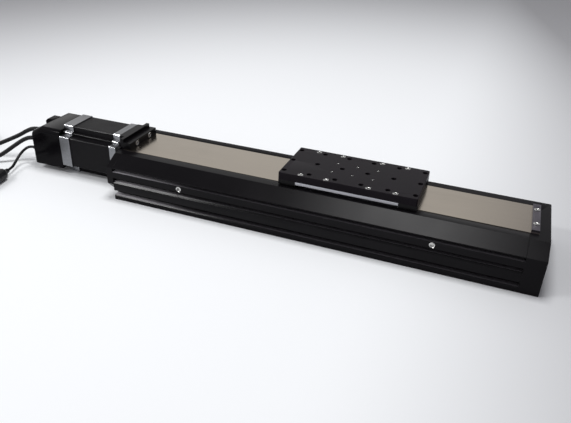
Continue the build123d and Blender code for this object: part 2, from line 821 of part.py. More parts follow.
motor_bearings = turned(
    [
        (stator_face, stator_face + motor_bearing[1], motor_bearing[0]),
        (rear_seat, rear_bell_face, motor_bearing[0]),
    ],
    shaft_diameter / 2 + running_gap,
)
finish(motor_bearings, "motor_bearings")

disc_x = encoder_face - 12.0
disc_thickness = 1.5
disc_radius = 17.0
shaft_end = disc_x - 4.0
motor_rotor = turned(
    [
        (shaft_end, mount_face + shaft_length, shaft_diameter / 2),
        (rear_bell_face + bell_clearance, stator_face - bell_clearance, rotor_radius),
    ]
)
finish(motor_rotor, "motor_rotor")
encoder_disc = turned(
    [(disc_x, disc_x + disc_thickness, disc_radius), (disc_x - 3.0, disc_x, shaft_diameter)],
    shaft_diameter / 2,
)
finish(encoder_disc, "encoder_disc")

mount_screw = screw(m4, mount_screw_length)
motor_screw = screw(m4, motor_screw_length)
with BuildPart() as motor_screws:
    with Locations(
        *[facing((1, 0, 0), plate_face + mount_screw_seat, y, z) for y, z in mount_screw_places]
    ):
        add(mount_screw)
    with Locations(
        *[facing((1, 0, 0), mount_face + motor_screw_seat, y, z) for y, z in motor_screw_places]
    ):
        add(motor_screw)
finish(motor_screws, "motor_screws")

slope_x = encoder_end + encoder_slope[0]
slope_z = encoder_high - encoder_slope[1]
cover_wall = 2.0
cover_rounding = 6.0  # of the long edges beside the top
cover_corner = 3.0
cable_hump = (-1.0, 11.0, 50.0, 11.0)  # from y, to y, top z, length along X


def cover_form(inset):
    """The encoder cover's outside, or the space inside it, which is set in by the wall."""
    half = encoder_width / 2 - inset
    with BuildPart() as form:
        with BuildSketch(Plane.XZ.offset(-half)):
            Polygon(
                (encoder_face, encoder_low + inset),
                (encoder_face, encoder_high - inset),
                (slope_x, encoder_high - inset),
                (encoder_end + inset, slope_z - inset),
                (encoder_end + inset, encoder_low + inset),
                align=None,
            )
        extrude(amount=2 * half)
        upper_faces = form.faces().sort_by(Axis.Z)[-2:]
        fillet(upper_faces.edges().filter_by(Axis.Y, reverse=True), cover_rounding - inset)
        fillet(form.edges().filter_by(Axis.Z).sort_by(Axis.X)[:2], cover_corner - inset)
    return form.part


# The encoder cover is a thin die casting: a box with rounded upper edges and a sloping rear top
# edge, which carries a raised cap over the upper cable's outlet.
with BuildPart() as encoder_cover:
    add(cover_form(0))
    with BuildSketch(Plane.XZ.offset(-cable_hump[1])):
        Polygon(
            (encoder_end + cover_wall, slope_z - cover_wall),
            (encoder_end, slope_z),
            (encoder_end, cable_hump[2] - 3),
            (encoder_end + 3, cable_hump[2]),
            (encoder_end + cable_hump[3], cable_hump[2]),
            (encoder_end + encoder_slope[0], slope_z),
            align=None,
        )
    extrude(amount=cable_hump[1] - cable_hump[0])
    add(cover_form(cover_wall), mode=Mode.SUBTRACT)
finish(encoder_cover, "encoder_cover")

# The encoder's circuit board stands on the rear bell with its reading head over the disc's rim.
board_x = disc_x - 6.0
with BuildPart() as encoder_reader:
    with BuildSketch(Plane.YZ.offset(board_x)):
        with Locations((0, screw_z)):
            Rectangle(40, 34)
            Circle(shaft_diameter / 2 + 6, mode=Mode.SUBTRACT)
    extrude(amount=1.6)
    with BuildSketch(Plane.YZ.offset(board_x)):
        with Locations((15, screw_z)):
            Rectangle(6, 8)
    extrude(amount=disc_x - board_x - 0.6)
    with BuildSketch(Plane.YZ.offset(board_x)):
        with Locations((-18, screw_z - 14), (18, screw_z - 14), (-18, screw_z + 14), (18, screw_z + 14)):
            Circle(2)
    extrude(amount=encoder_face - board_x)
finish(encoder_reader, "encoder_reader")

# ---- Carriage -----------------------------------------------------------------------------------

wing_out = rail_y + truck_width / 2 - wing_inset
wing_knee = cover_knee - cover_gap
wing_top = cover_underside - cover_gap
wing_foot = body_height - slope_offset - (wing_out - flat_half) * slope - cover_gap * math.hypot(1, slope)
neck_half = slot_width / 2 - neck_gap
channel_half = channel_width / 2
strip_half = strip_width / 2 + strip_side_gap
bracket_screw = (1.5, 2.75, 2.4)
bracket_screw_seat = plate_bottom - bracket_screw[2] - 0.4
bracket_screw_length = 9.0
bracket_x = (carriage_x - 6.0, carriage_x + 13.0)
bracket_middle = (bracket_x[0] + bracket_x[1]) / 2
bracket_screw_places = [(bracket_middle + 5 * s, 11.5 * t) for s in (-1, 1) for t in (-1, 1)]
plate_screw_y = strip_half + 2.0
plate_screw_places = [(carriage_x + x, s * plate_screw_y) for x in (-45, -20, 20, 45) for s in (-1, 1)]
plate_screw_seat = plate_top - m3[2] - 0.3
plate_screw_length = 7.0
cap_screw_y = (flange_width / 2 + strip_half) / 2
cap_screw_z = plate_bottom - m2[1] - 0.1
cap_screw_places = [(s * cap_screw_y, cap_screw_z) for s in (-1, 1)]
cap_screw_depth = 3.0
cap_screw_bite = 2.3  # length of its thread in the flange
cap_screw_length = (plate_length - flange_length) / 2 - cap_screw_depth + cap_screw_bite

# The saddle ties the four trucks together: wings under the cover rails, a neck through the slot,
# and a flange above the rims, bridging the tunnel that the screw runs in.
with BuildPart() as saddle:
    with BuildSketch(Plane.YZ.offset(carriage_x - saddle_length / 2)):
        section([(0, truck_top), (wing_out, truck_top), (wing_out, wing_foot), (wing_knee, wing_top)])
        Rectangle(channel_width, body_width, mode=Mode.SUBTRACT)
    extrude(amount=saddle_length)
    with BuildSketch(Plane.YZ.offset(carriage_x - flange_length / 2)):
        section(
            [
                (channel_half, roof_z),
                (channel_half, truck_top),
                (neck_half, truck_top),
                (neck_half, flange_bottom),
                (flange_width / 2, flange_bottom),
                (flange_width / 2, plate_bottom),
            ]
        )
    extrude(amount=flange_length)
    for end in (-1, 1):
        with BuildSketch(Plane.XZ.offset(-strip_half)):
            Polygon(
                (carriage_x + end * crest_half, plate_bottom),
                (carriage_x + end * flange_length / 2, plate_bottom - cap_ramp),
                (carriage_x + end * flange_length / 2, plate_bottom),
                align=None,
            )
        extrude(amount=2 * strip_half, mode=Mode.SUBTRACT)
        with BuildSketch(Plane.YZ.offset(carriage_x + end * flange_length / 2)):
            with Locations(*cap_screw_places):
                Circle(m2[0] + hole_gap)
        extrude(amount=-end * cap_screw_bite, mode=Mode.SUBTRACT)
    with BuildSketch(Plane.XY.offset(plate_bottom)):
        with Locations(*plate_screw_places, *bracket_screw_places):
            Circle(m3[0] + hole_gap)
    extrude(amount=-plate_bottom + truck_top, mode=Mode.SUBTRACT)
    with BuildSketch(Plane.XY.offset(bracket_screw_seat)):
        with Locations(*bracket_screw_places):
            Circle(bracket_screw[1] + hole_gap)
    extrude(amount=plate_thickness, mode=Mode.SUBTRACT)
    with BuildSketch(Plane.XY.offset(truck_top)):
        with Locations(*truck_screw_places):
            Circle(m3[0] + hole_gap)
    extrude(amount=truck_height, mode=Mode.SUBTRACT)
    with BuildSketch(Plane.XY.offset(truck_screw_seat)):
        with Locations(*truck_screw_places):
            Circle(m3[1] + hole_gap)
    extrude(amount=truck_height, mode=Mode.SUBTRACT)
finish(saddle, "saddle")

truck_screw = screw(m3, truck_screw_length)
with BuildPart() as truck_screws:
    with Locations(*[(x, y, truck_screw_seat) for x, y in truck_screw_places]):
        add(truck_screw)
finish(truck_screws, "truck_screws")

pad_screw_places = [(carriage_x + x, y) for x in (-20, 0, 20) for y in (-10, 10)]
channel_roof = plate_bottom + channel_depth
hole_depth = min(tapped_depth, plate_top - channel_roof - 0.6)
# The top plate: a blind tapped grid above, a channel for the strip below.
with BuildPart() as carriage_plate:
    with BuildSketch(Plane.XY.offset(plate_bottom)):
        with Locations((carriage_x, 0)):
            RectangleRounded(plate_length, plate_width, plate_corner)
    extrude(amount=plate_thickness)
    with BuildSketch(Plane.XY.offset(plate_bottom)):
        with Locations((carriage_x, 0)):
            Rectangle(plate_length, 2 * strip_half)
    extrude(amount=channel_depth, mode=Mode.SUBTRACT)
    with BuildSketch(Plane.XY.offset(plate_top)):
        with Locations((carriage_x, 0)):
            with GridLocations(hole_pitch, hole_pitch, hole_columns, hole_rows):
                Circle(tapped_m6 / 2)
    extrude(amount=-hole_depth, mode=Mode.SUBTRACT)
    with BuildSketch(Plane.XY.offset(plate_top)):
        with Locations(*plate_screw_places, *pad_screw_places):
            Circle(m3[0] + hole_gap)
    extrude(amount=-plate_thickness, mode=Mode.SUBTRACT)
    with BuildSketch(Plane.XY.offset(plate_screw_seat)):
        with Locations(*plate_screw_places):
            Circle(m3[1] + hole_gap)
    extrude(amount=plate_thickness, mode=Mode.SUBTRACT)
    chamfer(carriage_plate.faces().sort_by(Axis.Z)[-1].outer_wire().edges(), 0.4)
finish(carriage_plate, "carriage_plate")

plate_screw = screw(m3, plate_screw_length)
with BuildPart() as plate_screws:
    with Locations(*[(x, y, plate_screw_seat) for x, y in plate_screw_places]):
        add(plate_screw)
finish(plate_screws, "plate_screws")

# A low-friction pad keeps the strip down on the saddle; grub screws set its height.
pad_length = 60.0
pad_width = 40.0
pad_thickness = 0.8
pad_low = channel_roof - pad_thickness
with BuildPart() as strip_pad:
    with BuildSketch(Plane.XY.offset(pad_low)):
        with Locations((carriage_x, 0)):
            Rectangle(pad_length, pad_width)
    extrude(amount=pad_thickness)
finish(strip_pad, "strip_pad")

pad_screw_sink = 0.5
with BuildPart() as pad_screws:
    with BuildSketch(Plane.XY.offset(channel_roof)):
        with Locations(*pad_screw_places):
            Circle(m3[0])
    extrude(amount=plate_top - channel_roof - pad_screw_sink)
    with BuildSketch(Plane.XY.offset(plate_top - pad_screw_sink)):
        with Locations(*pad_screw_places):
            RegularPolygon(m3[0] * 0.5, 6)
    extrude(amount=-plate_thickness / 4, mode=Mode.SUBTRACT)
finish(pad_screws, "pad_screws")


def end_cap(end):
    """An acetal cap that leads the strip down from the carriage and wipes it."""
    start = carriage_x + end * flange_length / 2
    stop = carriage_x + end * plate_length / 2
    with BuildPart() as cap:
        with BuildSketch(Plane.XZ.offset(-flange_width / 2)):
            Polygon(
                (start, body_height + cap_lift),
                (start, plate_bottom),
                (stop, plate_bottom),
                (stop, body_height + cap_lift),
                align=None,
            )
        extrude(amount=flange_width)
        with BuildSketch(Plane.XZ.offset(-strip_half)):
            Polygon(
                (start, body_height),
                (start, plate_bottom),
                (start + end * cap_ramp, plate_bottom),
                (carriage_x + end * landing_half, body_height + cap_lift),
                (carriage_x + end * landing_half, body_height),
                align=None,
            )
        extrude(amount=2 * strip_half, mode=Mode.SUBTRACT)
        with BuildSketch(Plane.YZ.offset(start)):
            with Locations(*cap_screw_places):
                Circle(m2[0] + hole_gap)
        extrude(amount=end * plate_length, mode=Mode.SUBTRACT)
        with BuildSketch(Plane.YZ.offset(stop - end * cap_screw_depth)):
            with Locations(*cap_screw_places):
                Circle(m2[1] + hole_gap)
        extrude(amount=end * plate_length, mode=Mode.SUBTRACT)
    return cap


end_cap_left = end_cap(-1)
finish(end_cap_left, "end_cap_left")
end_cap_right = end_cap(1)
finish(end_cap_right, "end_cap_right")

cap_screw = screw(m2, cap_screw_length)
with BuildPart() as end_cap_screws:
    for end in (-1, 1):
        seat = carriage_x + end * (plate_length / 2 - cap_screw_depth)
        with Locations(*[facing((end, 0, 0), seat, y, z) for y, z in cap_screw_places]):
            add(cap_screw)
finish(end_cap_screws, "end_cap_screws")

# ---- Nut and bracket ----------------------------------------------------------------------------

nut_radius = nut_diameter / 2
nut_x = bracket_x[0] - nut_flange_thickness
bracket_half = channel_half - 0.2
nut_screw_angles = [2 * math.pi * i / nut_screw_count for i in range(nut_screw_count)]
nut_screw_places = [
    (nut_screw_circle / 2 * math.cos(t), screw_z + nut_screw_circle / 2 * math.sin(t))
    for t in nut_screw_angles
]
nut_screw_length = 12.0
flag_thickness = 0.8
flag_x = (carriage_x - 1.0, carriage_x + 9.0)
flag_z = (12.0, 26.0)
with BuildPart() as nut_bracket:
    with BuildSketch(Plane.YZ.offset(bracket_x[0])):
        section(
            [
                (12, floor + 5),
                (12, floor + 8.5),
                (bracket_half, floor + 8.5),
                (bracket_half, roof_z),
            ]
        )
        with Locations((0, screw_z)):
            Circle(nut_radius, mode=Mode.SUBTRACT)
    extrude(amount=bracket_x[1] - bracket_x[0])
    with BuildSketch(Plane.XZ.offset(-bracket_half - flag_thickness)):
        with Locations(((flag_x[0] + flag_x[1]) / 2, (flag_z[0] + flag_z[1]) / 2)):
            Rectangle(flag_x[1] - flag_x[0], flag_z[1] - flag_z[0])
    extrude(amount=flag_thickness)
    with BuildSketch(Plane.YZ.offset(bracket_x[0])):
        with Locations(*nut_screw_places):
            Circle(m2_5[0] + hole_gap)
    extrude(amount=nut_screw_length, mode=Mode.SUBTRACT)
    with BuildSketch(Plane.XY.offset(roof_z)):
        with Locations(*bracket_screw_places):
            Circle(m3[0] + hole_gap)
    extrude(amount=-(bracket_screw_length - (bracket_screw_seat - roof_z)), mode=Mode.SUBTRACT)
finish(nut_bracket, "nut_bracket")

with BuildPart() as ball_nut:
    with BuildSketch(Plane.YZ.offset(nut_x)):
        with Locations((0, screw_z)):
            Circle(nut_flange_diameter / 2)
    extrude(amount=nut_flange_thickness)
    with BuildSketch(Plane.YZ.offset(nut_x)):
        with Locations((0, screw_z)):
            Circle(nut_radius)
    extrude(amount=nut_length)
    with BuildSketch(Plane.YZ.offset(nut_x)):
        with Locations((0, screw_z)):
            Circle(screw_diameter / 2 + running_gap)
    extrude(amount=nut_length, mode=Mode.SUBTRACT)
    with BuildSketch(Plane.YZ.offset(nut_x)):
        with Locations(*nut_screw_places):
            Circle(m2_5[0] + hole_gap)
    extrude(amount=nut_flange_thickness, mode=Mode.SUBTRACT)
finish(ball_nut, "ball_nut")

nut_screw = screw(m2_5, nut_screw_length)
saddle_screw = screw(bracket_screw, bracket_screw_length)
with BuildPart() as nut_screws:
    with Locations(*[facing((-1, 0, 0), nut_x, y, z) for y, z in nut_screw_places]):
        add(nut_screw)
    with Locations(*[(x, y, bracket_screw_seat) for x, y in bracket_screw_places]):
        add(saddle_screw)
finish(nut_screws, "nut_screws")

# ---- Stops and limit switches -------------------------------------------------------------------

bumper_radius = 4.0
bumper_z = 32.0
wing_end = saddle_length / 2
bumper_spans = [
    (-half_length, left_limit - wing_end - stop_gap),
    (right_limit + wing_end + stop_gap, half_length),
]
with BuildPart() as travel_bumpers:
    for start, stop in bumper_spans:
        with BuildSketch(Plane.YZ.offset(start)):
            with Locations((-rail_y, bumper_z), (rail_y, bumper_z)):
                Circle(bumper_radius)
        extrude(amount=stop - start)
finish(travel_bumpers, "travel_bumpers")

flag_y = bracket_half + flag_thickness / 2
flag_middle = (flag_x[0] + flag_x[1]) / 2 - carriage_x
sensor_slot = 2.0
sensor_leg = 2.0
sensor_top = 17.5
with BuildPart() as limit_sensors:
    for limit in (left_limit, right_limit):
        with BuildSketch(Plane.YZ.offset(limit + flag_middle - 6.5)):
            with Locations((flag_y, (floor + sensor_top) / 2)):
                Rectangle(sensor_slot + 2 * sensor_leg, sensor_top - floor)
            with Locations((flag_y, sensor_top)):
                Rectangle(sensor_slot, 2 * (sensor_top - floor - 1.5), mode=Mode.SUBTRACT)
        extrude(amount=13)
finish(limit_sensors, "limit_sensors")

# ---- Seal strip and its clamps ------------------------------------------------------------------

ramp_half = (crest_half + landing_half) / 2
strip_mid = (strip_low + strip_high) / 2
strip_start = hood_face + fit_gap
strip_end = clamp_x + clamp_length / 2
strip_screw_hole = m3[0] + 2 * hole_gap
# One steel strip, clamped at both ends, climbs over the saddle under the carriage plate.
with BuildPart() as seal_strip:
    with BuildLine(Plane.XZ) as strip_line:
        low_left = Line((strip_start, strip_low), (carriage_x - landing_half, strip_low))
        up_left = TangentArc(low_left @ 1, (carriage_x - ramp_half, strip_mid), tangent=low_left % 1)
        over_left = TangentArc(up_left @ 1, (carriage_x - crest_half, strip_high), tangent=up_left % 1)
        crest = Line(over_left @ 1, (carriage_x + crest_half, strip_high))
        over_right = TangentArc(crest @ 1, (carriage_x + ramp_half, strip_mid), tangent=crest % 1)
        down_right = TangentArc(
            over_right @ 1, (carriage_x + landing_half, strip_low), tangent=over_right % 1
        )
        Line(down_right @ 1, (strip_end, strip_low))
    with BuildSketch(Plane.YZ.offset(strip_start)):
        with Locations((0, strip_low)):
            Rectangle(strip_width, strip_thickness)
    sweep(path=strip_line.line)
    with BuildSketch(Plane.XY):
        with Locations(*clamp_screw_places):
            Circle(strip_screw_hole)
    extrude(amount=plate_top, mode=Mode.SUBTRACT)
finish(seal_strip, "seal_strip")

clamp_screw_seat = clamp_bottom + clamp_height - 1.2
hood_screw_seat = hood_face + hood_screw_length - hood_screw_bite
# A bar holds the strip's idler end, and a taller block its drive end against the mount's hood.
with BuildPart() as strip_clamps:
    with BuildSketch(Plane.XY.offset(clamp_bottom)):
        with Locations((clamp_x, 0)):
            Rectangle(clamp_length, clamp_width)
    extrude(amount=clamp_height)
    with BuildSketch(Plane.XY.offset(clamp_bottom)):
        with Locations(*clamp_screw_places):
            Circle(m3[0] + hole_gap)
    extrude(amount=clamp_height, mode=Mode.SUBTRACT)
    with BuildSketch(Plane.XY.offset(clamp_screw_seat)):
        with Locations(*clamp_screw_places):
            Circle(m3[1] + hole_gap)
    extrude(amount=clamp_height, mode=Mode.SUBTRACT)
    with BuildSketch(Plane.YZ.offset(hood_face)):
        with Locations((0, clamp_bottom + block_height / 2)):
            Rectangle(clamp_width, block_height)
    extrude(amount=block_length)
    with BuildSketch(Plane.YZ.offset(hood_face)):
        with Locations(*hood_screw_places):
            Circle(m3[0] + hole_gap)
    extrude(amount=block_length, mode=Mode.SUBTRACT)
    with BuildSketch(Plane.YZ.offset(hood_screw_seat)):
        with Locations(*hood_screw_places):
            Circle(m3[1] + hole_gap)
    extrude(amount=block_length, mode=Mode.SUBTRACT)
finish(strip_clamps, "strip_clamps")

clamp_screw = screw(m3_low, clamp_screw_length)
hood_screw = screw(m3, hood_screw_length)
with BuildPart() as strip_clamp_screws:
    with Locations(*[(x, y, clamp_screw_seat) for x, y in clamp_screw_places]):
        add(clamp_screw)
    with Locations(*[facing((1, 0, 0), hood_screw_seat, y, z) for y, z in hood_screw_places]):
        add(hood_screw)
finish(strip_clamp_screws, "strip_clamp_screws")

# ---- Cables -------------------------------------------------------------------------------------

cable_diameter = 4.8
aux_diameter = 3.0
grommet_length = 6.0
plug_radius = 6.5
plug_length = 26.0
aux_plug_length = 34.0
boot_length = 6.0
tail_run = 7.0  # the level runs of the cable between a coil and its plug
tail_fall = 12.0
coil_radius = 27.0  # to the middle of the cable
coil_turns = 2
coil_stub = 17.0  # straight cable at each end of a coil
stub_inset = 0.1  # keeps the stubs clear of the ring's faces
grommet_end = encoder_end - grommet_length

# Each route starts at its grommet and ends at its coil or plug.
encoder_route = [
    (grommet_end, -6.0, 37.5),
    (grommet_end - 8.0, -6.0, 37.5),
    (grommet_end - 17.0, -7.5, 33.6),
    (grommet_end - 27.0, -10.0, 27.2),
    (grommet_end - 38.0, -14.0, 21.7),
    (grommet_end - 50.0, -18.5, 16.0),
    (grommet_end - 62.0, -22.0, 10.5),
    (grommet_end - 73.0, -25.0, 5.6),
    (grommet_end - 83.0, -27.5, cable_diameter / 2),
    (grommet_end - 92.0, -29.8, cable_diameter / 2),
]
motor_route = [
    (grommet_end, -13.0, 29.0),
    (grommet_end - 8.0, -13.0, 29.0),
    (grommet_end - 16.5, -15.5, 26.0),
    (grommet_end - 25.5, -22.5, 19.0),
    (grommet_end - 34.5, -29.8, 11.5),
    (grommet_end - 44.5, -36.8, 5.0),
    (grommet_end - 54.5, -43.0, cable_diameter / 2),
    (grommet_end - 62.5, -48.0, cable_diameter / 2),
]
aux_route = [
    (grommet_end, -19.0, 20.5),
    (grommet_end - 5.0, -19.0, 20.5),
    (grommet_end - 9.5, -21.0, 18.8),
    (grommet_end - 12.0, -26.5, 15.5),
    (grommet_end - 12.0, -33.0, 12.0),
    (grommet_end - 10.0, -41.0, 8.8),
    (grommet_end - 7.5, -49.0, plug_radius),
    (grommet_end - 6.5, -57.0, plug_radius),
]


def heading(route):
    """The level unit vector along a route's last run."""
    (x0, y0, _), (x1, y1, _) = route[-2:]
    reach = math.hypot(x1 - x0, y1 - y0)
    return (x1 - x0) / reach, (y1 - y0) / reach


def bend_radii(route):
    """The radius of each bend: as large as the shorter of its two runs allows."""
    radii = []
    for before, corner, after in zip(route, route[1:], route[2:]):
        run_in = Vector(*corner) - Vector(*before)
        run_out = Vector(*after) - Vector(*corner)
        half_turn = math.radians(run_in.get_angle(run_out) / 2)
        radii.append(0.45 * min(run_in.length, run_out.length) / math.tan(half_turn))
    return radii


def cord(route, diameter):
    """A cable along a route, its bends rounded."""
    radii = bend_radii(route)
    print("bend radii", [round(radius / diameter, 1) for radius in radii], "diameters")
    with BuildPart() as tube:
        with BuildLine() as line:
            FilletPolyline(*route, radius=radii)
        with BuildSketch(Plane(origin=route[0], z_dir=Vector(*route[1]) - Vector(*route[0]))):
            Circle(diameter / 2)
        sweep(path=line.line)
    return tube


def level_rod(steps):
    """Rods along level headings: (start, heading, length, radius, radius at the far end)."""
    with BuildPart() as rods:
        for start, (dx, dy), length, near, far in steps:
            with Locations(Plane(origin=start, z_dir=(dx, dy, 0)).location):
                if near == far:
                    Cylinder(near, length, align=(Align.CENTER, Align.CENTER, Align.MIN))
                else:
                    Cone(near, far, length, align=(Align.CENTER, Align.CENTER, Align.MIN))
    return rods


def coil_stand(route, side):
    """Where a coil's stubs start and leave, and its middle; side 1 turns left, -1 right."""
    dx, dy = heading(route)
    x, y, z = route[-1]
    touch = (x + coil_stub * dx, y + coil_stub * dy)
    return touch, (touch[0] - side * coil_radius * dy, touch[1] + side * coil_radius * dx)


def cable_coil(route, side):
    """The cable's put-away turns as one ring, with the straight ends that lead in and out."""
    touch, (x, y) = coil_stand(route, side)
    way = heading(route)
    radius = cable_diameter / 2
    stub = radius - stub_inset
    top = radius + coil_turns * cable_diameter
    with BuildPart() as coil:
        with BuildSketch(Plane.XY):
            with Locations((x, y)):
                Circle(coil_radius + radius)
                Circle(coil_radius - radius, mode=Mode.SUBTRACT)
        extrude(amount=top + radius)
        add(level_rod([(start, way, coil_stub, stub, stub) for start in (route[-1], (*touch, top))]).part)
    return coil


def tail_route(route, side):
    """The short end from a coil's upper stub down to the plug."""
    touch, _ = coil_stand(route, side)
    dx, dy = heading(route)
    top = cable_diameter / 2 + coil_turns * cable_diameter
    steps = [
        (coil_stub, top),
        (coil_stub + tail_run, top),
        (coil_stub + tail_run + tail_fall, plug_radius),
        (coil_stub + 2 * tail_run + tail_fall, plug_radius),
    ]
    return [(touch[0] + reach * dx, touch[1] + reach * dy, z) for reach, z in steps]


motor_side = 1
encoder_side = -1
motor_tail = tail_route(motor_route, motor_side)
encoder_tail = tail_route(encoder_route, encoder_side)
motor_tube = cord(motor_route, cable_diameter)
motor_end = cord(motor_tail, cable_diameter)
encoder_tube = cord(encoder_route, cable_diameter)
encoder_end_tube = cord(encoder_tail, cable_diameter)

with BuildPart() as motor_cable:
    add(motor_tube.part)
    add(motor_end.part)
finish(motor_cable, "motor_cable")
with BuildPart() as encoder_cable:
    add(encoder_tube.part)
    add(encoder_end_tube.part)
finish(encoder_cable, "encoder_cable")
aux_cable = cord(aux_route, aux_diameter)
finish(aux_cable, "aux_cable")

motor_cable_coil = cable_coil(motor_route, motor_side)
finish(motor_cable_coil, "motor_cable_coil")
encoder_cable_coil = cable_coil(encoder_route, encoder_side)
finish(encoder_cable_coil, "encoder_cable_coil")


def plug_steps(route, diameter, length):
    """A round plug's boot and body, as rods from the end of a route."""
    way = heading(route)
    x, y, z = route[-1]
    body_start = (x + boot_length * way[0], y + boot_length * way[1], z)
    return [
        (route[-1], way, boot_length, diameter / 2 + 0.8, plug_radius * 0.7),
        (body_start, way, length, plug_radius, plug_radius),
    ]


cable_plugs = level_rod(
    plug_steps(motor_tail, cable_diameter, plug_length)
    + plug_steps(encoder_tail, cable_diameter, plug_length)
)
finish(cable_plugs, "cable_plugs")
aux_connector = level_rod(plug_steps(aux_route, aux_diameter, aux_plug_length))
finish(aux_connector, "aux_connector")

# A moulded grommet leads each cable out of the encoder cover's rear wall.
with BuildPart() as cable_grommets:
    for (x, y, z), diameter in (
        (encoder_route[0], cable_diameter),
        (motor_route[0], cable_diameter),
        (aux_route[0], aux_diameter),
    ):
        with Locations(Plane(origin=(encoder_end, y, z), z_dir=(-1, 0, 0)).location):
            Cone(
                diameter / 2 + 1.6,
                diameter / 2 + 0.5,
                grommet_length,
                align=(Align.CENTER, Align.CENTER, Align.MIN),
            )
finish(cable_grommets, "cable_grommets")
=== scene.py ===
import math

import bmesh
import bpy
from mathutils import Matrix, Vector


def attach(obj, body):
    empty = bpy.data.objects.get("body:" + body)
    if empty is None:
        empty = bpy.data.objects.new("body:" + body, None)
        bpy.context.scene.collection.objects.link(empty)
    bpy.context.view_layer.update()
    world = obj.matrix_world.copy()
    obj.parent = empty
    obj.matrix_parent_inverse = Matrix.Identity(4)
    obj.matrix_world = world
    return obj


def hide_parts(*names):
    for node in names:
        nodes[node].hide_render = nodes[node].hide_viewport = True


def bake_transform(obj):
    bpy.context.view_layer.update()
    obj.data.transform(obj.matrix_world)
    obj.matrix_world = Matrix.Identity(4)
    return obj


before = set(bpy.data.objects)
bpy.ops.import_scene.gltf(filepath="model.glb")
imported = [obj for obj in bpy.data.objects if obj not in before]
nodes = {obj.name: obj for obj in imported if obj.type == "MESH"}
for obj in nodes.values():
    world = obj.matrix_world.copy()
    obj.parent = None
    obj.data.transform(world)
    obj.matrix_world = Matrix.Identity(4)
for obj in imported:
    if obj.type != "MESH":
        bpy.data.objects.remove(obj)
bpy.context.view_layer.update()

# ---- Camera -------------------------------------------------------------------------------------

# A short portrait lens looks down on the stage from the near side, over its idler end,
# from some 60 cm away and tipped by two degrees.
camera_data = bpy.data.cameras.new("camera")
camera_data.sensor_width = 36.0
camera_data.lens = 38.62
camera_data.clip_end = 50.0
camera = bpy.data.objects.new("camera", camera_data)
camera.location = (0.1571, -0.5170, 0.3086)
camera.rotation_euler = [math.radians(angle) for angle in (60.445, -1.929, 21.055)]
bpy.context.collection.objects.link(camera)
bpy.context.scene.camera = camera

# ---- Extruded body ------------------------------------------------------------------------------

# The body, its two cover rails and its end pieces are sawn and milled from aluminium, then
# anodised black: a dull, nearly neutral black with a faint violet cast. The lower lips of its
# grooves are flattened and burnished by the clamps that slide along them.


def linear(colour):
    """An sRGB colour such as "7F7F7F" as linear red, green, blue and alpha."""
    parts = [int(colour[i : i + 2], 16) / 255 for i in (0, 2, 4)]
    return [p / 12.92 if p <= 0.04045 else ((p + 0.055) / 1.055) ** 2.4 for p in parts] + [1.0]


def add_node(tree, kind, inputs=None, **settings):
    """Adds a shader node. Each input takes a value, or the output that feeds it."""
    made = tree.nodes.new(kind)
    for name, value in settings.items():
        setattr(made, name, value)
    for name, value in (inputs or {}).items():
        if isinstance(value, bpy.types.NodeSocket):
            tree.links.new(value, made.inputs[name])
        else:
            made.inputs[name].default_value = value
    return made


def start_material(name):
    """A new material: its node tree and its Principled shader."""
    material = bpy.data.materials.new(name)
    material.use_nodes = True
    return material, material.node_tree, material.node_tree.nodes["Principled BSDF"]


def metres(millimetres):
    """The texture scale at which a pattern repeats every so many millimetres."""
    return 1000.0 / millimetres


def clouded(name, dark, pale, roughness, level, grit, depth, cloud_size=30.0):
    """A dark surface whose colour and gloss drift a little, under a fine even grain.

    Roughness is the middle of its range, level the strength of its reflection. Grit is the size
    of the grain and depth how far it stands up, both in millimetres.
    """
    material, tree, shader = start_material(name)
    place = add_node(tree, "ShaderNodeTexCoord")
    cloud = add_node(
        tree,
        "ShaderNodeTexNoise",
        {"Vector": place.outputs["Object"], "Scale": metres(cloud_size), "Detail": 4.0},
    )
    grain = add_node(
        tree,
        "ShaderNodeTexNoise",
        {"Vector": place.outputs["Object"], "Scale": metres(grit), "Detail": 2.0},
    )
    speck = add_node(
        tree,
        "ShaderNodeMath",
        {0: cloud.outputs["Fac"], 1: grain.outputs["Fac"]},
        operation="MULTIPLY",
    )
    spread = add_node(
        tree,
        "ShaderNodeMapRange",
        {"Value": speck.outputs["Value"], "From Min": 0.12, "From Max": 0.42},
    )
    tint = add_node(
        tree,
        "ShaderNodeMix",
        {6: linear(dark), 7: linear(pale), 0: spread.outputs["Result"]},
        data_type="RGBA",
    )
    rough = add_node(
        tree,
        "ShaderNodeMapRange",
        {"Value": cloud.outputs["Fac"], "To Min": roughness - 0.07, "To Max": roughness + 0.07},
    )
    bump = add_node(
        tree,
        "ShaderNodeBump",
        {"Height": grain.outputs["Fac"], "Strength": 0.3, "Distance": depth / 1000},
    )
    tree.links.new(tint.outputs[2], shader.inputs["Base Color"])
    tree.links.new(rough.outputs["Result"], shader.inputs["Roughness"])
    tree.links.new(bump.outputs["Normal"], shader.inputs["Normal"])
    shader.inputs["Specular IOR Level"].default_value = level
    return material


black_anodised = clouded(
    "black_anodised_aluminium", "0B0A0C", "141215", 0.29, 0.09, 0.5, 0.03, cloud_size=60.0
)
burnished_lip = clouded(
    "burnished_anodised_lip", "0D0C0E", "1A191B", 0.22, 0.22, 0.5, 0.01, cloud_size=20.0
)
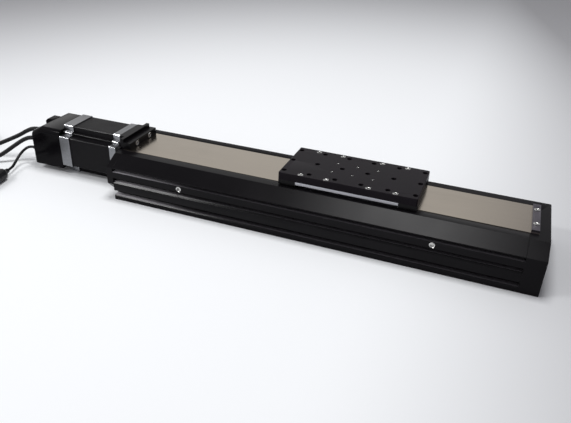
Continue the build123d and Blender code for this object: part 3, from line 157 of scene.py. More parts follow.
# The groove floors are painted paler than the body, painted light that lifts the shade inside the
# grooves, and near white at the motor's end, a painted highlight along the lips there. The paint
# is matt and mottled in clumps of about 3 mm.
highlight_full_to = -0.19
highlight_gone_from = -0.10
groove_painted_light, tree, shader = start_material("groove_floor_painted_light")
place = add_node(tree, "ShaderNodeTexCoord")
lie = add_node(tree, "ShaderNodeSeparateXYZ", {"Vector": place.outputs["Object"]})
# The painted highlight is full up to x = -0.19 m and gone by x = -0.10 m.
highlight_fade = add_node(
    tree,
    "ShaderNodeMapRange",
    {"Value": lie.outputs["X"], "From Min": highlight_full_to, "From Max": highlight_gone_from},
    interpolation_type="SMOOTHSTEP",
)
mottle = add_node(
    tree,
    "ShaderNodeTexNoise",
    {"Vector": place.outputs["Object"], "Scale": metres(3), "Detail": 5.0},
)
# Near white: the painted highlight at the motor's end.
thick = add_node(
    tree,
    "ShaderNodeMix",
    {6: linear("B5B2B8"), 7: linear("C9C6CC"), 0: mottle.outputs["Fac"]},
    data_type="RGBA",
)
# Dark grey, paler than the body: painted light lifting the shade in the grooves.
thin = add_node(
    tree,
    "ShaderNodeMix",
    {6: linear("39373B"), 7: linear("5A575C"), 0: mottle.outputs["Fac"]},
    data_type="RGBA",
)
tint = add_node(
    tree,
    "ShaderNodeMix",
    {6: thick.outputs[2], 7: thin.outputs[2], 0: highlight_fade.outputs["Result"]},
    data_type="RGBA",
)
tree.links.new(tint.outputs[2], shader.inputs["Base Color"])
shader.inputs["Roughness"].default_value = 0.8
shader.inputs["Specular IOR Level"].default_value = 0.1


def shade(mesh):
    """Smooth shading with sharp edges where faces meet at more than 35 degrees."""
    mesh.shade_smooth()
    mesh.set_sharp_from_angle(angle=math.radians(35))


def eased(name, body, materials, width, shape=None, suffix="_eased"):
    """Stands in for a CAD node with the same shape, its edges broken by a small bevel.

    Shape is called with the merged mesh before it is finished.
    """
    mesh = nodes[name].data.copy()
    mesh.materials.clear()
    build = bmesh.new()
    build.from_mesh(mesh)
    bmesh.ops.remove_doubles(build, verts=build.verts, dist=1e-6)
    bmesh.ops.dissolve_limit(
        build, angle_limit=math.radians(1), verts=build.verts, edges=build.edges
    )
    if shape:
        shape(build)
    build.to_mesh(mesh)
    build.free()
    for material in materials:
        mesh.materials.append(material)
    shade(mesh)
    piece = bpy.data.objects.new(name + suffix, mesh)
    bpy.context.collection.objects.link(piece)
    bevel = piece.modifiers.new("bevel", "BEVEL")
    bevel.width = width
    bevel.segments = 2
    bevel.limit_method = "ANGLE"
    bevel.angle_limit = math.radians(40)
    bevel.harden_normals = True
    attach(piece, body)
    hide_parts(name)
    return piece


def chamfer(build, edges, size, slot):
    """Cuts a flat chamfer along some edges and gives it a material slot."""
    bmesh.ops.bevel(
        build, geom=edges, affect="EDGES", offset=size, segments=1, profile=0.5, material=slot
    )


half_width = 0.0535
groove_depth = 0.007
fine_edge = 0.0003
soft_edge = 0.0004
# The height of each groove's floor, and the chamfer on its lip. The seam's lip has none, because
# the grease ports come too near it.
lip_chamfers = {0.0310: 0, 0.0200: 0.0016, 0.0052: 0.0009}
lip_slot, painted_light_slot = 1, 2


def flatten_lips(build):
    """Chamfers the lower lip of each groove given a chamfer size, along the whole body, and gives
    each floor the painted light.
    """
    for height, size in lip_chamfers.items():
        lips = []
        for edge in build.edges:
            a, b = edge.verts[0].co, edge.verts[1].co
            along = abs(a.x - b.x) > 0.001 and abs(a.z - height) < 1e-5 and abs(b.z - height) < 1e-5
            if along and abs(abs(a.y) - half_width) < 1e-5:
                lips.append(edge)
        if size:
            chamfer(build, lips, size, lip_slot)
        for face in build.faces:
            middle = face.calc_center_median()
            inside = half_width - groove_depth < abs(middle.y) < half_width
            if inside and abs(middle.z - height) < 1e-4 and face.normal.z > 0.9:
                face.material_index = painted_light_slot


body_coats = [black_anodised, burnished_lip, groove_painted_light]
eased("base_extrusion", "base", body_coats, fine_edge, flatten_lips)
for name in ("cover_rail_near", "cover_rail_far"):
    eased(name, "base", [black_anodised], fine_edge)
for name in ("idler_end_block", "drive_end_plate", "motor_mount"):
    eased(name, "base", [black_anodised], soft_edge)

# The end screws are blackened steel and the two grease-port plugs stainless, all with hexagon
# sockets. Metals with fine turned or ground lines share one recipe; the lines run along one axis.


def lined_metal(name, colour, roughness, grain_axis, line_spacing, dirt="000000", dirt_share=0.0):
    """Bare metal with fine lines along one axis, spaced in millimetres, and a thin grey film."""
    material, tree, shader = start_material(name)
    place = add_node(tree, "ShaderNodeTexCoord")
    stretch = [metres(line_spacing)] * 3
    stretch[grain_axis] = metres(100 * line_spacing)
    turned_lines = add_node(
        tree, "ShaderNodeMapping", {"Vector": place.outputs["Object"], "Scale": stretch}
    )
    lines = add_node(
        tree,
        "ShaderNodeTexNoise",
        {"Vector": turned_lines.outputs["Vector"], "Scale": 1.0, "Detail": 3.0},
    )
    cloud = add_node(
        tree,
        "ShaderNodeTexNoise",
        {"Vector": place.outputs["Object"], "Scale": metres(70), "Detail": 4.0},
    )
    both = add_node(
        tree,
        "ShaderNodeMath",
        {0: lines.outputs["Fac"], 1: cloud.outputs["Fac"]},
        operation="MULTIPLY",
    )
    rough = add_node(
        tree,
        "ShaderNodeMapRange",
        {"Value": both.outputs["Value"], "To Min": roughness - 0.08, "To Max": roughness + 0.12},
    )
    film = add_node(
        tree,
        "ShaderNodeMapRange",
        {"Value": both.outputs["Value"], "From Min": 0.15, "From Max": 0.4, "To Max": dirt_share},
    )
    tint = add_node(
        tree,
        "ShaderNodeMix",
        {6: linear(colour), 7: linear(dirt), 0: film.outputs["Result"]},
        data_type="RGBA",
    )
    bump = add_node(
        tree,
        "ShaderNodeBump",
        {"Height": lines.outputs["Fac"], "Strength": 0.15, "Distance": 0.00004},
    )
    tree.links.new(tint.outputs[2], shader.inputs["Base Color"])
    tree.links.new(rough.outputs["Result"], shader.inputs["Roughness"])
    tree.links.new(bump.outputs["Normal"], shader.inputs["Normal"])
    shader.inputs["Metallic"].default_value = 1.0
    return material


stainless_screw = lined_metal("turned_stainless_steel", "D4D4D2", 0.25, 2, 0.3, "6A6A6C", 0.3)
black_screw = clouded(
    "black_oxide_screw_steel", "0C0B0D", "1C1B1D", 0.32, 0.5, 0.3, 0.02, cloud_size=5.0
)
# Shank radius, head radius and head height of each size of screw.
m2 = (0.0010, 0.0019, 0.0020)
m3 = (0.0015, 0.00275, 0.0030)
m4 = (0.0020, 0.0035, 0.0040)
m3_low = (0.0015, 0.00275, 0.0016)


def new_piece(name, build, materials, body):
    """A finished mesh as an object that rides on a body."""
    mesh = bpy.data.meshes.new(name)
    build.to_mesh(mesh)
    build.free()
    for material in materials:
        mesh.materials.append(material)
    shade(mesh)
    piece = bpy.data.objects.new(name, mesh)
    bpy.context.collection.objects.link(piece)
    if body:
        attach(piece, body)
    return piece


def socket_head(build, seat, heading, size, length, socket=0.43):
    """A socket-head screw: where it seats, the way its head faces, its size and its shank.

    Socket is the distance to the hexagon's flats, as a share of the head's radius.
    """
    shank, head, height = size
    before = set(build.verts)
    made = bmesh.ops.create_cone(
        build, cap_ends=True, segments=24, radius1=head, radius2=head, depth=height
    )
    bmesh.ops.translate(build, verts=made["verts"], vec=(0, 0, height / 2))
    crown = max(
        {face for v in made["verts"] for face in v.link_faces},
        key=lambda face: face.calc_center_median().z,
    )
    bmesh.ops.inset_region(build, faces=[crown], thickness=head * 0.1)
    for v in crown.verts:
        v.co.z = height
    rim = [v for v in made["verts"] if v.co.z > height / 2]
    bmesh.ops.translate(build, verts=rim, vec=(0, 0, -head * 0.1))
    bmesh.ops.inset_region(build, faces=[crown], thickness=head * 0.2)
    flat = head * socket
    for v in crown.verts:
        # Each corner of the ring slides out to a hexagon with this distance to its flats.
        turn = math.atan2(v.co.y, v.co.x) % (math.pi / 3) - math.pi / 6
        spoke = Vector((v.co.x, v.co.y, 0)).normalized() * flat / math.cos(turn)
        v.co = (spoke.x, spoke.y, height)
    sunk = bmesh.ops.extrude_discrete_faces(build, faces=[crown])["faces"][0]
    bmesh.ops.translate(build, verts=sunk.verts, vec=(0, 0, -0.4 * height))
    if length:
        rod = bmesh.ops.create_cone(
            build, cap_ends=True, segments=16, radius1=shank, radius2=shank, depth=length
        )
        bmesh.ops.translate(build, verts=rod["verts"], vec=(0, 0, -length / 2))
    aim = Vector(heading).to_track_quat("Z", "Y").to_matrix().to_4x4()
    fresh = [v for v in build.verts if v not in before]
    bmesh.ops.transform(build, matrix=Matrix.Translation(seat) @ aim, verts=fresh)


def screw_set(node, body, material, screws):
    """Stands in for a node of like screws; each is (seat, heading, size, shank length)."""
    build = bmesh.new()
    for screw in screws:
        socket_head(build, *screw)
    piece = new_piece(node + "_socketed", build, [material], body)
    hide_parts(node)


# Four screws hold each end piece: one in each wall and two in the floor, mirrored.
end_face = 0.202
end_screw_length = 0.012
wall_screw = (0.0490, 0.0276)
floor_screw = (0.0295, 0.0075)
screw_set(
    "end_screws",
    "base",
    black_screw,
    [
        ((out * end_face, side * y, z), (out, 0, 0), m4, end_screw_length)
        for out in (-1, 1)
        for side in (-1, 1)
        for y, z in (wall_screw, floor_screw)
    ],
)
# The grease ports are in the near side only; their plugs are all head, with a wide socket.
port_size = (0.0012, 0.0027, 0.0040)
port_x, port_y, port_z = 0.124, -0.0495, 0.0276
screw_set(
    "grease_port_plugs",
    "base",
    stainless_screw,
    [((x, port_y, port_z), (0, -1, 0), port_size, 0, 0.6) for x in (-port_x, port_x)],
)

# ---- Guides, drive and everything else inside ---------------------------------------------------

# The rest of the machine, each in its own finish: ground and hardened bearing steel for what
# rolls, clear-anodised aluminium for what holds it, plastics for what buffers and senses.
# Clear anodising leaves a pale satin grey; acetal has a waxy sheen, and nitrile rubber none.
bearing_steel = lined_metal("ground_bearing_steel", "BDBDBF", 0.22, 0, 0.4, "8A8A8C", 0.3)
clear_anodised = lined_metal("clear_anodised_aluminium", "C6C6CC", 0.36, 0, 0.5, "8E8E94", 0.3)
acetal = clouded("black_acetal", "0B0A0C", "121113", 0.4, 0.2, 0.8, 0.05)
white_acetal = clouded("white_acetal", "C8C8C2", "D6D6D0", 0.4, 0.4, 0.8, 0.05)
polyurethane = clouded("red_polyurethane", "8E1A14", "A5221B", 0.4, 0.4, 0.8, 0.05)
solder_mask = clouded("green_solder_mask", "0F4A22", "14562A", 0.3, 0.4, 0.8, 0.02)
rubber = clouded("black_nitrile_rubber", "0C0C0C", "151515", 0.7, 0.3, 0.5, 0.1)
finishes = {
    "bearing_housing": black_anodised,
    "nut_bracket": clear_anodised,
    "coupling_hub_motor": clear_anodised,
    "coupling_hub_screw": clear_anodised,
    "strip_pad": white_acetal,
    "magnet_strips": rubber,
    "travel_bumpers": rubber,
    "coupling_spider": polyurethane,
    "encoder_reader": solder_mask,
    "encoder_disc": acetal,
    "limit_sensors": acetal,
    "bearing_cages": acetal,
}
for name in (
    "guide_rail_near",
    "guide_rail_far",
    "trucks",
    "ball_screw",
    "ball_nut",
    "bearing_retainer",
    "fixed_bearing_outer",
    "fixed_bearing_inner",
    "floating_bearing_outer",
    "floating_bearing_inner",
    "bearing_locknut",
    "motor_bearings",
    "motor_rotor",
):
    finishes[name] = bearing_steel
for name in (
    "rail_screws",
    "truck_screws",
    "bearing_housing_screws",
    "nut_screws",
    "motor_screws",
):
    finishes[name] = black_screw
for name, material in finishes.items():
    for slot in nodes[name].material_slots:
        slot.material = material

# ---- Motor --------------------------------------------------------------------------------------

# A stepper motor: two die-cast aluminium bells, machined on the outside and left bare, clamp a
# stack of varnished laminations. Half a millimetre each, they are drawn a millimetre apart here,
# the finest that shows.
cast_aluminium = lined_metal("machined_cast_aluminium", "8E8F92", 0.34, 1, 0.7, "4C4D50", 0.5)


def laminated(name, dark, pale):
    """Varnished sheet steel, seen on edge: thin lines across the motor's axis."""
    material, tree, shader = start_material(name)
    place = add_node(tree, "ShaderNodeTexCoord")
    # A wave's own period is 1 / 3.18 of its vector, so its scale is that much less.
    sheets = add_node(
        tree,
        "ShaderNodeTexWave",
        {"Vector": place.outputs["Object"], "Scale": metres(1.0) / 3.18, "Distortion": 0.0},
        wave_type="BANDS",
        bands_direction="X",
    )
    cloud = add_node(
        tree,
        "ShaderNodeTexNoise",
        {"Vector": place.outputs["Object"], "Scale": metres(12), "Detail": 4.0},
    )
    both = add_node(
        tree,
        "ShaderNodeMath",
        {0: sheets.outputs["Fac"], 1: cloud.outputs["Fac"]},
        operation="MULTIPLY",
    )
    tint = add_node(
        tree,
        "ShaderNodeMix",
        {6: linear(dark), 7: linear(pale), 0: both.outputs["Value"]},
        data_type="RGBA",
    )
    rough = add_node(
        tree,
        "ShaderNodeMapRange",
        {"Value": cloud.outputs["Fac"], "To Min": 0.3, "To Max": 0.5},
    )
    bump = add_node(
        tree,
        "ShaderNodeBump",
        {"Height": sheets.outputs["Fac"], "Strength": 0.3, "Distance": 0.0001},
    )
    tree.links.new(tint.outputs[2], shader.inputs["Base Color"])
    tree.links.new(rough.outputs["Result"], shader.inputs["Roughness"])
    tree.links.new(bump.outputs["Normal"], shader.inputs["Normal"])
    shader.inputs["Specular IOR Level"].default_value = 0.09
    return material


varnished_laminations = laminated("varnished_laminations", "0C0B0D", "19171A")
burnished_corner = lined_metal("burnished_aluminium_corner", "B4B5B8", 0.2, 0, 0.7, "8C8D90", 0.3)
motor_axis_z = 0.0276
motor_core = 0.0165  # every edge of a long corner lies farther out than this


def long_corners(size):
    """Chamfers the motor's convex corners that run along its axis."""

    def cut(build):
        corners = []
        for edge in build.edges:
            a, b = edge.verts[0].co, edge.verts[1].co
            along = abs(a.x - b.x) > 0.004 and (a - b).length < abs(a.x - b.x) + 1e-6
            outside = max(abs(a.y), abs(a.z - motor_axis_z)) > motor_core
            if along and outside and edge.calc_face_angle_signed(0) > math.radians(60):
                corners.append(edge)
        chamfer(build, corners, size, lip_slot)

    return cut


for name in ("motor_front_bell", "motor_rear_bell"):
    eased(name, "base", [cast_aluminium, burnished_corner], soft_edge, long_corners(0.0010))
stator_coats = [varnished_laminations, burnished_lip]
eased("motor_stator", "base", stator_coats, width=0.0002, shape=long_corners(0.0006))

# The encoder's cover is moulded in black glass-filled nylon, with a satin skin.
satin_nylon = clouded(
    "satin_glass_filled_nylon", "09080A", "100F12", 0.17, 0.05, 0.8, 0.02, cloud_size=25.0
)
eased("encoder_cover", "base", [satin_nylon], soft_edge)

# ---- Seal strip ---------------------------------------------------------------------------------

# One spring-steel band closes the slot. It is clamped at both ends, lies on the magnets and
# climbs over the saddle inside the carriage. Rolled and ground, so its grain runs along it.
# Its two halves meet at the carriage's middle, and each is built with its half of the hump where
# the carriage stands.
strip_steel = lined_metal("ground_stainless_strip", "AEA599", 0.24, 0, 0.8, "8F877E", 0.2)
strip_width = 0.052
strip_thickness = 0.0002
strip_ends = (-0.2034, 0.2074)
clamp_edges = (-0.1955, 0.2006)
strip_low = 0.0440
strip_high = 0.0497
carriage_x = 0.038
crest_half = 0.042
landing_half = 0.0645
hump_steps = 16


def strip_height(reach):
    """The strip's underside over the saddle and down, at a distance from the carriage's middle."""
    if reach <= crest_half:
        return strip_high
    run = landing_half - crest_half
    drop = strip_high - strip_low
    radius = (run * run + drop * drop) / (4 * drop)
    along = min(reach - crest_half, run)
    if along <= run / 2:
        return strip_high - radius + math.sqrt(radius**2 - along**2)
    return strip_low + radius - math.sqrt(radius**2 - (run - along) ** 2)


for side, end, clamp_edge in zip((-1, 1), strip_ends, clamp_edges):
    reaches = [0.0] + [
        crest_half + (landing_half - crest_half) * i / hump_steps for i in range(hump_steps + 1)
    ]
    stations = [(carriage_x + side * reach, strip_height(reach)) for reach in reaches]
    stations.append((end, strip_low))
    build = bmesh.new()
    line = [build.verts.new((x, -strip_width / 2, z + strip_thickness)) for x, z in stations]
    edges = [build.edges.new(pair) for pair in zip(line, line[1:])]
    across = bmesh.ops.extrude_edge_only(build, edges=edges)
    moved = [v for v in across["geom"] if isinstance(v, bmesh.types.BMVert)]
    bmesh.ops.translate(build, verts=moved, vec=(0, strip_width, 0))
    bmesh.ops.recalc_face_normals(build, faces=build.faces)
    for face in build.faces:
        if face.normal.z < 0:
            face.normal_flip()
    build.normal_update()
    bmesh.ops.solidify(build, geom=build.faces[:], thickness=strip_thickness)
    strip = new_piece(f"seal_strip_{'left' if side < 0 else 'right'}", build, [strip_steel], None)
    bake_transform(strip)
    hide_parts("seal_strip")

# A black block under the motor mount's hood clamps the strip's drive end, held by two bright
# screws that face the carriage. At the idler end a blued steel bar does it, with two low heads.
blued_steel = lined_metal("blued_clamp_steel", "726E76", 0.33, 1, 0.6, "3A383E", 0.4)


def only(side):
    """Keeps the solids of a node on one side of the middle."""

    def cut(build):
        lost = [v for v in build.verts if v.co.x * side < 0]
        bmesh.ops.delete(build, geom=lost, context="VERTS")

    return cut


eased("strip_clamps", "base", [black_anodised], soft_edge, only(-1), "_drive")
eased("strip_clamps", "base", [blued_steel], soft_edge, only(1), "_idler")
clamp_screw_length = 0.008
screw_set(
    "strip_clamp_screws",
    "base",
    stainless_screw,
    [((-0.1985, side * 0.012, 0.0479), (1, 0, 0), m3, clamp_screw_length) for side in (-1, 1)]
    + [((0.204, side * 0.0135, 0.0456), (0, 0, 1), m3_low, clamp_screw_length) for side in (-1, 1)],
)

# ---- Carriage -----------------------------------------------------------------------------------

# The top plate is milled and anodised black, a little greyer and glossier than the body. It is
# tapped M6 on a 25 mm grid, and eight cap screws hold it to the clear-anodised saddle.
plate_anodised = clouded(
    "milled_black_anodised_plate", "130F14", "1D191E", 0.4, 0.07, 0.5, 0.03, cloud_size=40.0
)
eased("carriage_plate", "carriage", [plate_anodised], soft_edge)
eased("saddle", "carriage", [clear_anodised], fine_edge)
for name in ("end_cap_left", "end_cap_right"):
    eased(name, "carriage", [acetal], fine_edge)

# The threads: each turn is drawn as a ring, a millimetre apart, in the bore of each hole.
tapped_bore = 0.0025
thread_depth = 0.00018
thread_pitch = 0.001
hole_floor = 0.0518
thread_turns = 5
hole_columns = (-0.0245, 0.0005, 0.0255, 0.0505, 0.0755, 0.1005)
hole_rows = (-0.025, 0.0, 0.025)
build = bmesh.new()
for x, y in [(x, y) for x in hole_columns for y in hole_rows]:
    steps = []
    for i in range(thread_turns):
        low = i * thread_pitch
        steps += [(low, tapped_bore), (low + thread_pitch / 2, tapped_bore - thread_depth)]
    steps += [(thread_turns * thread_pitch, tapped_bore), (0, tapped_bore)]
    before = set(build.verts)
    line = [build.verts.new((radius, 0, reach)) for reach, radius in steps[:-1]]
    edges = [build.edges.new(pair) for pair in zip(line, line[1:] + line[:1])]
    bmesh.ops.spin(
        build,
        geom=line + edges,
        axis=(0, 0, 1),
        cent=(0, 0, 0),
        angle=2 * math.pi,
        steps=16,
        use_merge=True,
    )
    fresh = [v for v in build.verts if v not in before]
    bmesh.ops.translate(build, verts=fresh, vec=(x, y, hole_floor))
bmesh.ops.recalc_face_normals(build, faces=build.faces)
new_piece("plate_threads", build, [plate_anodised], "carriage")

plate_screw_length = 0.007
screw_set(
    "plate_screws",
    "carriage",
    stainless_screw,
    [
        ((x, side * 0.0284, 0.0537), (0, 0, 1), m3, plate_screw_length)
        for x in (-0.007, 0.018, 0.058, 0.083)
        for side in (-1, 1)
    ],
)
# Six set screws press the strip's pad into place, and four screws hold the two end caps.
set_screw = (0.0012, 0.0015, 0.0056)
screw_set(
    "pad_screws",
    "carriage",
    stainless_screw,
    [
        ((x, side * 0.010, 0.0509), (0, 0, 1), set_screw, 0)
        for x in (0.018, 0.038, 0.058)
        for side in (-1, 1)
    ],
)
cap_face = 0.063
cap_screw_length = 0.0163
screw_set(
    "end_cap_screws",
    "carriage",
    stainless_screw,
    [
        ((carriage_x + out * cap_face, side * 0.0287, 0.0477), (out, 0, 0), m2, cap_screw_length)
        for out in (-1, 1)
        for side in (-1, 1)
    ],
)

# ---- Cables -------------------------------------------------------------------------------------

# Three cables leave the encoder cover's rear wall: the motor's and the encoder's, in soft black
# PVC with a slight sheen, and a thinner one with a moulded connector that lies beside the motor.
# The two long ones are put away in coils, each tied near its plug.

# Extruded PVC has the faint orange peel of its die; the nylon of the plugs is spark-eroded.
cable_pvc = clouded("extruded_black_pvc", "08090B", "111216", 0.42, 0.28, 0.7, 0.08)
plug_nylon = clouded("moulded_black_nylon", "0D0E11", "17181C", 0.45, 0.3, 0.9, 0.12)
grommet_x = -0.329
grommet_length = 0.006
cable_radius = 0.0024
thin_radius = 0.0015
plug_radius = 0.0065
coil_radius = 0.027
coil_turns = 2
coil_stub = 0.017
turn_points = 14

encoder_route = [
    (grommet_x, -0.0060, 0.0375),
    (grommet_x - 0.008, -0.0060, 0.0375),
    (grommet_x - 0.017, -0.0075, 0.0336),
    (grommet_x - 0.027, -0.0100, 0.0272),
    (grommet_x - 0.038, -0.0140, 0.0217),
    (grommet_x - 0.050, -0.0185, 0.0160),
    (grommet_x - 0.062, -0.0220, 0.0105),
    (grommet_x - 0.073, -0.0250, 0.0056),
    (grommet_x - 0.083, -0.0275, cable_radius),
    (grommet_x - 0.092, -0.0298, cable_radius),
]
motor_route = [
    (grommet_x, -0.0130, 0.0290),
    (grommet_x - 0.008, -0.0130, 0.0290),
    (grommet_x - 0.0165, -0.0155, 0.0260),
    (grommet_x - 0.0255, -0.0225, 0.0190),
    (grommet_x - 0.0345, -0.0298, 0.0115),
    (grommet_x - 0.0445, -0.0368, 0.0050),
    (grommet_x - 0.0545, -0.0430, cable_radius),
    (grommet_x - 0.0625, -0.0480, cable_radius),
]
aux_route = [
    (grommet_x, -0.0190, 0.0205),
    (grommet_x - 0.005, -0.0190, 0.0205),
    (grommet_x - 0.0095, -0.0210, 0.0188),
    (grommet_x - 0.012, -0.0265, 0.0155),
    (grommet_x - 0.012, -0.0330, 0.0120),
    (grommet_x - 0.010, -0.0410, 0.0088),
    (grommet_x - 0.0075, -0.0490, plug_radius),
    (grommet_x - 0.0065, -0.0570, plug_radius),
]


def coiled(route, side):
    """A route with its coil's turns and the short fall to its plug added; side 1 turns left."""
    ahead = (Vector(route[-1]) - Vector(route[-2])).normalized()
    across = Vector((-ahead.y, ahead.x, 0)) * side
    touch = Vector(route[-1]) + ahead * coil_stub
    middle = touch + across * coil_radius
    points = [Vector(point) for point in route]
    # Control points stand a little outside the circle that the spline follows.
    outside = coil_radius / math.cos(math.pi / turn_points)
    steps = coil_turns * turn_points
    for i in range(steps):
        turn = 2 * math.pi * (i + 0.5) / turn_points
        rise = 2 * cable_radius * coil_turns * (i + 0.5) / steps
        spoke = ahead * math.sin(turn) - across * math.cos(turn)
        points.append(middle + spoke * outside + Vector((0, 0, rise)))
    top = touch + Vector((0, 0, 2 * cable_radius * coil_turns))
    points.append(top + ahead * coil_stub)
    points.append(top + ahead * (coil_stub + 0.007))
    for reach in (0.019, 0.026):
        low = top + ahead * (coil_stub + reach)
        points.append(Vector((low.x, low.y, plug_radius)))
    return points


def cable(name, points, radius, nodes_replaced):
    """A round cable along one smooth spline."""
    curve = bpy.data.curves.new(name, "CURVE")
    curve.dimensions = "3D"
    curve.bevel_depth = radius
    curve.bevel_resolution = 3
    curve.resolution_u = 6
    curve.use_fill_caps = True
    spline = curve.splines.new("NURBS")
    spline.points.add(len(points) - 1)
    for point, place in zip(spline.points, points):
        point.co = (*place, 1.0)
    spline.order_u = 3
    spline.use_endpoint_u = True
    curve.materials.append(cable_pvc)
    piece = bpy.data.objects.new(name, curve)
    bpy.context.collection.objects.link(piece)
    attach(piece, "base")
    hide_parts(*nodes_replaced)


def turned(build, steps, start, heading, sides=24):
    """Spins (distance, radius) steps about a line. A closed form starts and ends at radius 0."""
    before = set(build.verts)
    line = [build.verts.new((radius, 0, reach)) for reach, radius in steps]
    edges = [build.edges.new(pair) for pair in zip(line, line[1:])]
    bmesh.ops.spin(
        build,
        geom=line + edges,
        axis=(0, 0, 1),
        cent=(0, 0, 0),
        angle=2 * math.pi,
        steps=sides,
        use_merge=True,
    )
    made = [v for v in build.verts if v not in before]
    bmesh.ops.remove_doubles(build, verts=made, dist=1e-6)
    made = [v for v in build.verts if v not in before]
    faces = list({face for v in made for face in v.link_faces})
    bmesh.ops.recalc_face_normals(build, faces=faces)
    aim = Vector(heading).to_track_quat("Z", "Y").to_matrix().to_4x4()
    bmesh.ops.transform(build, matrix=Matrix.Translation(start) @ aim, verts=made)


def ribbed(length, thick, thin, ribs):
    """A tapered strain relief in steps of (distance, radius), with a groove between its ribs."""
    steps = [(0, 0), (0, thick)]
    pitch = length / (ribs + 0.5)
    for i in range(ribs):
        radius = thick + (thin - thick) * (i + 1) / (ribs + 0.5)
        low = pitch * (i + 0.5)
        steps += [(low, radius), (low, radius * 0.82), (low + 0.4 * pitch, radius * 0.82)]
        steps += [(low + 0.4 * pitch, radius)]
    return steps + [(length, thin), (length, 0)]


# Each cable passes the wall in a ribbed grommet.
build = bmesh.new()
for route, wide, narrow in (
    (encoder_route, 0.0040, 0.0031),
    (motor_route, 0.0040, 0.0031),
    (aux_route, 0.0031, 0.0021),
):
    wall_place = Vector(route[0]) + Vector((grommet_length, 0, 0))
    turned(build, ribbed(grommet_length, wide, narrow, 3), wall_place, (-1, 0, 0))
grommets = new_piece("ribbed_grommets", build, [plug_nylon], "base")
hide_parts("cable_grommets")

# Each long cable ends in a round plug with a ribbed boot, a knurled nut and a bare metal shell.
plug_shell, tree, shader = start_material("nickel_plated_shell")
place = add_node(tree, "ShaderNodeTexCoord")
wear = add_node(
    tree,
    "ShaderNodeTexNoise",
    {"Vector": place.outputs["Object"], "Scale": metres(2.5), "Detail": 4.0},
)
rough = add_node(
    tree, "ShaderNodeMapRange", {"Value": wear.outputs["Fac"], "To Min": 0.2, "To Max": 0.4}
)
tree.links.new(rough.outputs["Result"], shader.inputs["Roughness"])
shader.inputs["Base Color"].default_value = linear("C9C7C0")
shader.inputs["Metallic"].default_value = 1.0

boot_length = 0.006
plug_body = 0.026
knurl_reach = 0.0155
knurl_radius = 0.0062
knurl_count = 20
knurl_rib = (0.0080, 0.0009, 0.0006)
plugs = bmesh.new()
shells = bmesh.new()
for route, side in ((encoder_route, -1), (motor_route, 1)):
    points = coiled(route, side)
    heading = (points[-1] - points[-2]).normalized()
    end = points[-1]
    turned(plugs, ribbed(boot_length, 0.0046, 0.0032, 3), end + heading * boot_length, -heading)
    body_steps = [
        (boot_length, 0),
        (boot_length, 0.0044),
        (boot_length + 0.0015, 0.0058),
        (boot_length + 0.011, 0.0060),
        (boot_length + 0.011, 0.0065),
        (boot_length + 0.020, 0.0065),
        (boot_length + 0.0205, 0.0060),
        (boot_length + 0.0205, 0),
    ]
    turned(plugs, body_steps, end, heading, 32)
    shell_steps = [
        (boot_length + 0.0205, 0),
        (boot_length + 0.0205, 0.0053),
        (boot_length + plug_body, 0.0053),
        (boot_length + plug_body, 0.0047),
        (boot_length + 0.022, 0.0047),
        (boot_length + 0.022, 0),
    ]
    turned(shells, shell_steps, end, heading, 32)
    # The knurl: flat ribs along the coupling nut.
    middle = end + heading * (boot_length + knurl_reach)
    upright = Vector((0, 0, 1))
    across = heading.cross(upright)
    for i in range(knurl_count):
        angle = 2 * math.pi * i / knurl_count
        out = upright * math.cos(angle) + across * math.sin(angle)
        rib = bmesh.ops.create_cube(plugs, size=1.0)["verts"]
        aim = Matrix((heading, out.cross(heading), out)).transposed().to_4x4()
        size = Matrix.Diagonal((*knurl_rib, 1.0))
        where = Matrix.Translation(middle + out * knurl_radius)
        bmesh.ops.transform(plugs, matrix=where @ aim @ size, verts=rib)
plug_piece = new_piece("cable_plug_bodies", plugs, [plug_nylon], "base")
shell_piece = new_piece("cable_plug_shells", shells, [plug_shell], "base")
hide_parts("cable_plugs")
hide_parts("cable_plugs")

# A nylon tie holds each coil's turns together, drawn up through its square head.
tie_width = 0.0030
tie_wall = 0.0007
tie_head = (0.0044, 0.0026, 0.0046)
tie_head_shift = 0.0008


def coil_tie(name, route, side):
    """An oval band round both turns of a coil, with its head on top."""
    ahead = (Vector(route[-1]) - Vector(route[-2])).normalized()
    across = Vector((-ahead.y, ahead.x, 0)) * side
    spoke = (ahead * 0.5 + across).normalized()
    half_height = cable_radius * coil_turns + tie_wall / 2
    middle = Vector(route[-1]) + ahead * coil_stub + across * coil_radius + spoke * coil_radius
    middle.z = half_height
    build = bmesh.new()
    loop = bmesh.ops.create_circle(build, segments=24, radius=1.0)["verts"]
    bmesh.ops.scale(build, verts=loop, vec=(cable_radius * 1.5, half_height, 1))
    band = bmesh.ops.extrude_edge_only(build, edges=build.edges[:])
    moved = [v for v in band["geom"] if isinstance(v, bmesh.types.BMVert)]
    bmesh.ops.translate(build, verts=moved, vec=(0, 0, tie_width))
    bmesh.ops.recalc_face_normals(build, faces=build.faces)
    bmesh.ops.solidify(build, geom=build.faces[:], thickness=tie_wall)
    head = bmesh.ops.create_cube(build, size=1.0)["verts"]
    bmesh.ops.scale(build, verts=head, vec=tie_head)
    seat = (tie_head_shift, half_height + tie_head_shift, tie_width / 2)
    bmesh.ops.translate(build, verts=head, vec=seat)
    bmesh.ops.bevel(
        build,
        geom=list({edge for v in head for edge in v.link_edges}),
        affect="EDGES",
        offset=0.0005,
        segments=2,
        profile=0.5,
        material=-1,
    )
    up = Vector((0, 0, 1))
    aim = Matrix((spoke, up, spoke.cross(up))).transposed().to_4x4()
    back = Matrix.Translation((0, 0, -tie_width / 2))
    bmesh.ops.transform(build, matrix=Matrix.Translation(middle) @ aim @ back, verts=build.verts)
    return new_piece(name, build, [plug_nylon], "base")


encoder_tie = coil_tie("encoder_coil_tie", encoder_route, -1)
motor_tie = coil_tie("motor_coil_tie", motor_route, 1)

